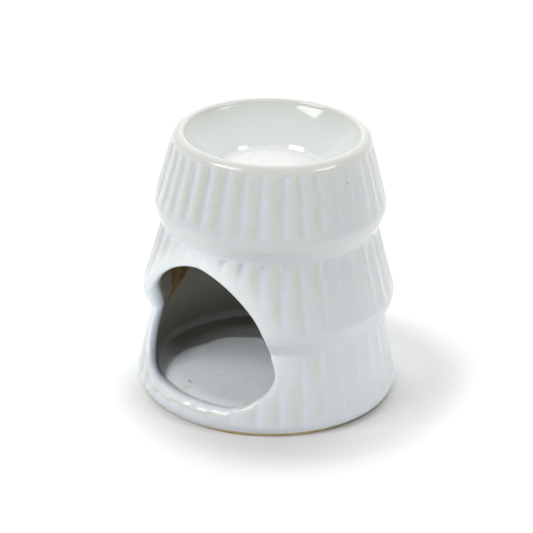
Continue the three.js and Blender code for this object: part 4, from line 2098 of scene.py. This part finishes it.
    def floor(self) -> None:
        """A plain pale floor that shows white and keeps the burner's shadow."""
        half = self.floor_size / 2
        corners = [(-half, -half, 0), (half, -half, 0), (half, half, 0), (-half, half, 0)]
        mesh = bpy.data.meshes.new("studio_floor")
        mesh.from_pydata(corners, [], [(0, 1, 2, 3)])
        floor = bpy.data.objects.new("studio_floor", mesh)
        bpy.context.scene.collection.objects.link(floor)
        material, board, shader, place = surface("studio_floor_white")
        shades = [(value, value, value, 1.0) for value in (self.floor_bounce, self.floor_seen)]
        seen = self.seen(board)
        board.put(shader.inputs["Base Color"], board.mix(seen, *shades))
        ends = {0: place, 1: self.lift_centre}
        away = board.add("ShaderNodeVectorMath", ends, operation="DISTANCE").outputs["Value"]
        lift = board.math("MULTIPLY", board.ramp(away, *self.lift_reach), self.floor_lift)
        shader.inputs["Emission Color"].default_value = (1.0, 1.0, 1.0, 1.0)
        board.put(shader.inputs["Emission Strength"], board.math("MULTIPLY", lift, seen))
        shader.inputs["Roughness"].default_value = self.floor_roughness
        shader.inputs["Specular IOR Level"].default_value = self.floor_specular
        mesh.materials.append(material)


# Assembly


@dataclass(frozen=True)
class Levels:
    """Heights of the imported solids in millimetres, read from their boxes."""

    foot: float
    middle_seat: float
    top_seat: float
    crest: float
    floor_low: float
    floor_high: float

    @classmethod
    def measured(cls) -> "Levels":
        """Reads the levels from the frame.

        Returns:
            The levels.
        """
        nodes = ("lower_tier", "middle_tier", "top_tier", "chamber_floor")
        low = {name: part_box(name)[0].z / MM for name in nodes}
        high = {name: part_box(name)[1].z / MM for name in nodes}
        return cls(
            foot=low["lower_tier"],
            middle_seat=low["middle_tier"],
            top_seat=low["top_tier"],
            crest=high["top_tier"],
            floor_low=low["chamber_floor"],
            floor_high=high["chamber_floor"],
        )


def dress(piece: bpy.types.Object, node: str, material: bpy.types.Material) -> None:
    """Gives a piece its finish and lets it stand for its node.

    Args:
        piece: The finished object.
        node: The CAD node that it replaces.
        material: The finish.
    """
    piece.data.materials.append(material)
    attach(piece, BODY)
    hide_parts(node)
    LOG.info("%s stands for %s: %d faces", piece.name, node, len(piece.data.polygons))


def main() -> None:
    """Builds the burner's pieces in order, then the studio."""
    logging.basicConfig(level=logging.INFO, format="%(name)s: %(message)s")
    bpy.context.scene.view_settings.view_transform = "Standard"
    levels = Levels.measured()
    seam, top_seat = levels.middle_seat, levels.top_seat
    outside = Outside(levels.foot, seam, top_seat, levels.crest)
    burner = Burner(outside, Flutes(), ChamberWall(levels.floor_high), Door(seam))
    white, dish_finish = WhiteGlaze().material(), DishGlaze().material()
    floor_finish, clay = FloorGlaze().material(), BareClay().material()

    foot = FootRing(levels.foot, levels.floor_low)
    floor = ChamberFloor(levels.floor_low, levels.floor_high)
    ends = (levels.foot, levels.floor_high)
    lower = DoorTier(burner, "lower_tier_glazed", Side.SILL, seam, *ends, rows=78)
    middle = DoorTier(burner, "middle_tier_glazed", Side.ARCH, seam, top_seat, top_seat, rows=86)
    top = TopTier(burner, top_seat)
    dish = OilDish(outside)
    dress(foot.build(), "foot_ring", clay)
    dress(lower.build(), "lower_tier", white)
    dress(floor.build(), "chamber_floor", floor_finish)
    dress(middle.build(), "middle_tier", white)
    dress(top.build(), "top_tier", white)
    dress(dish.build(), "oil_dish", dish_finish)
    Studio().build()


if __name__ == "__main__":
    main()
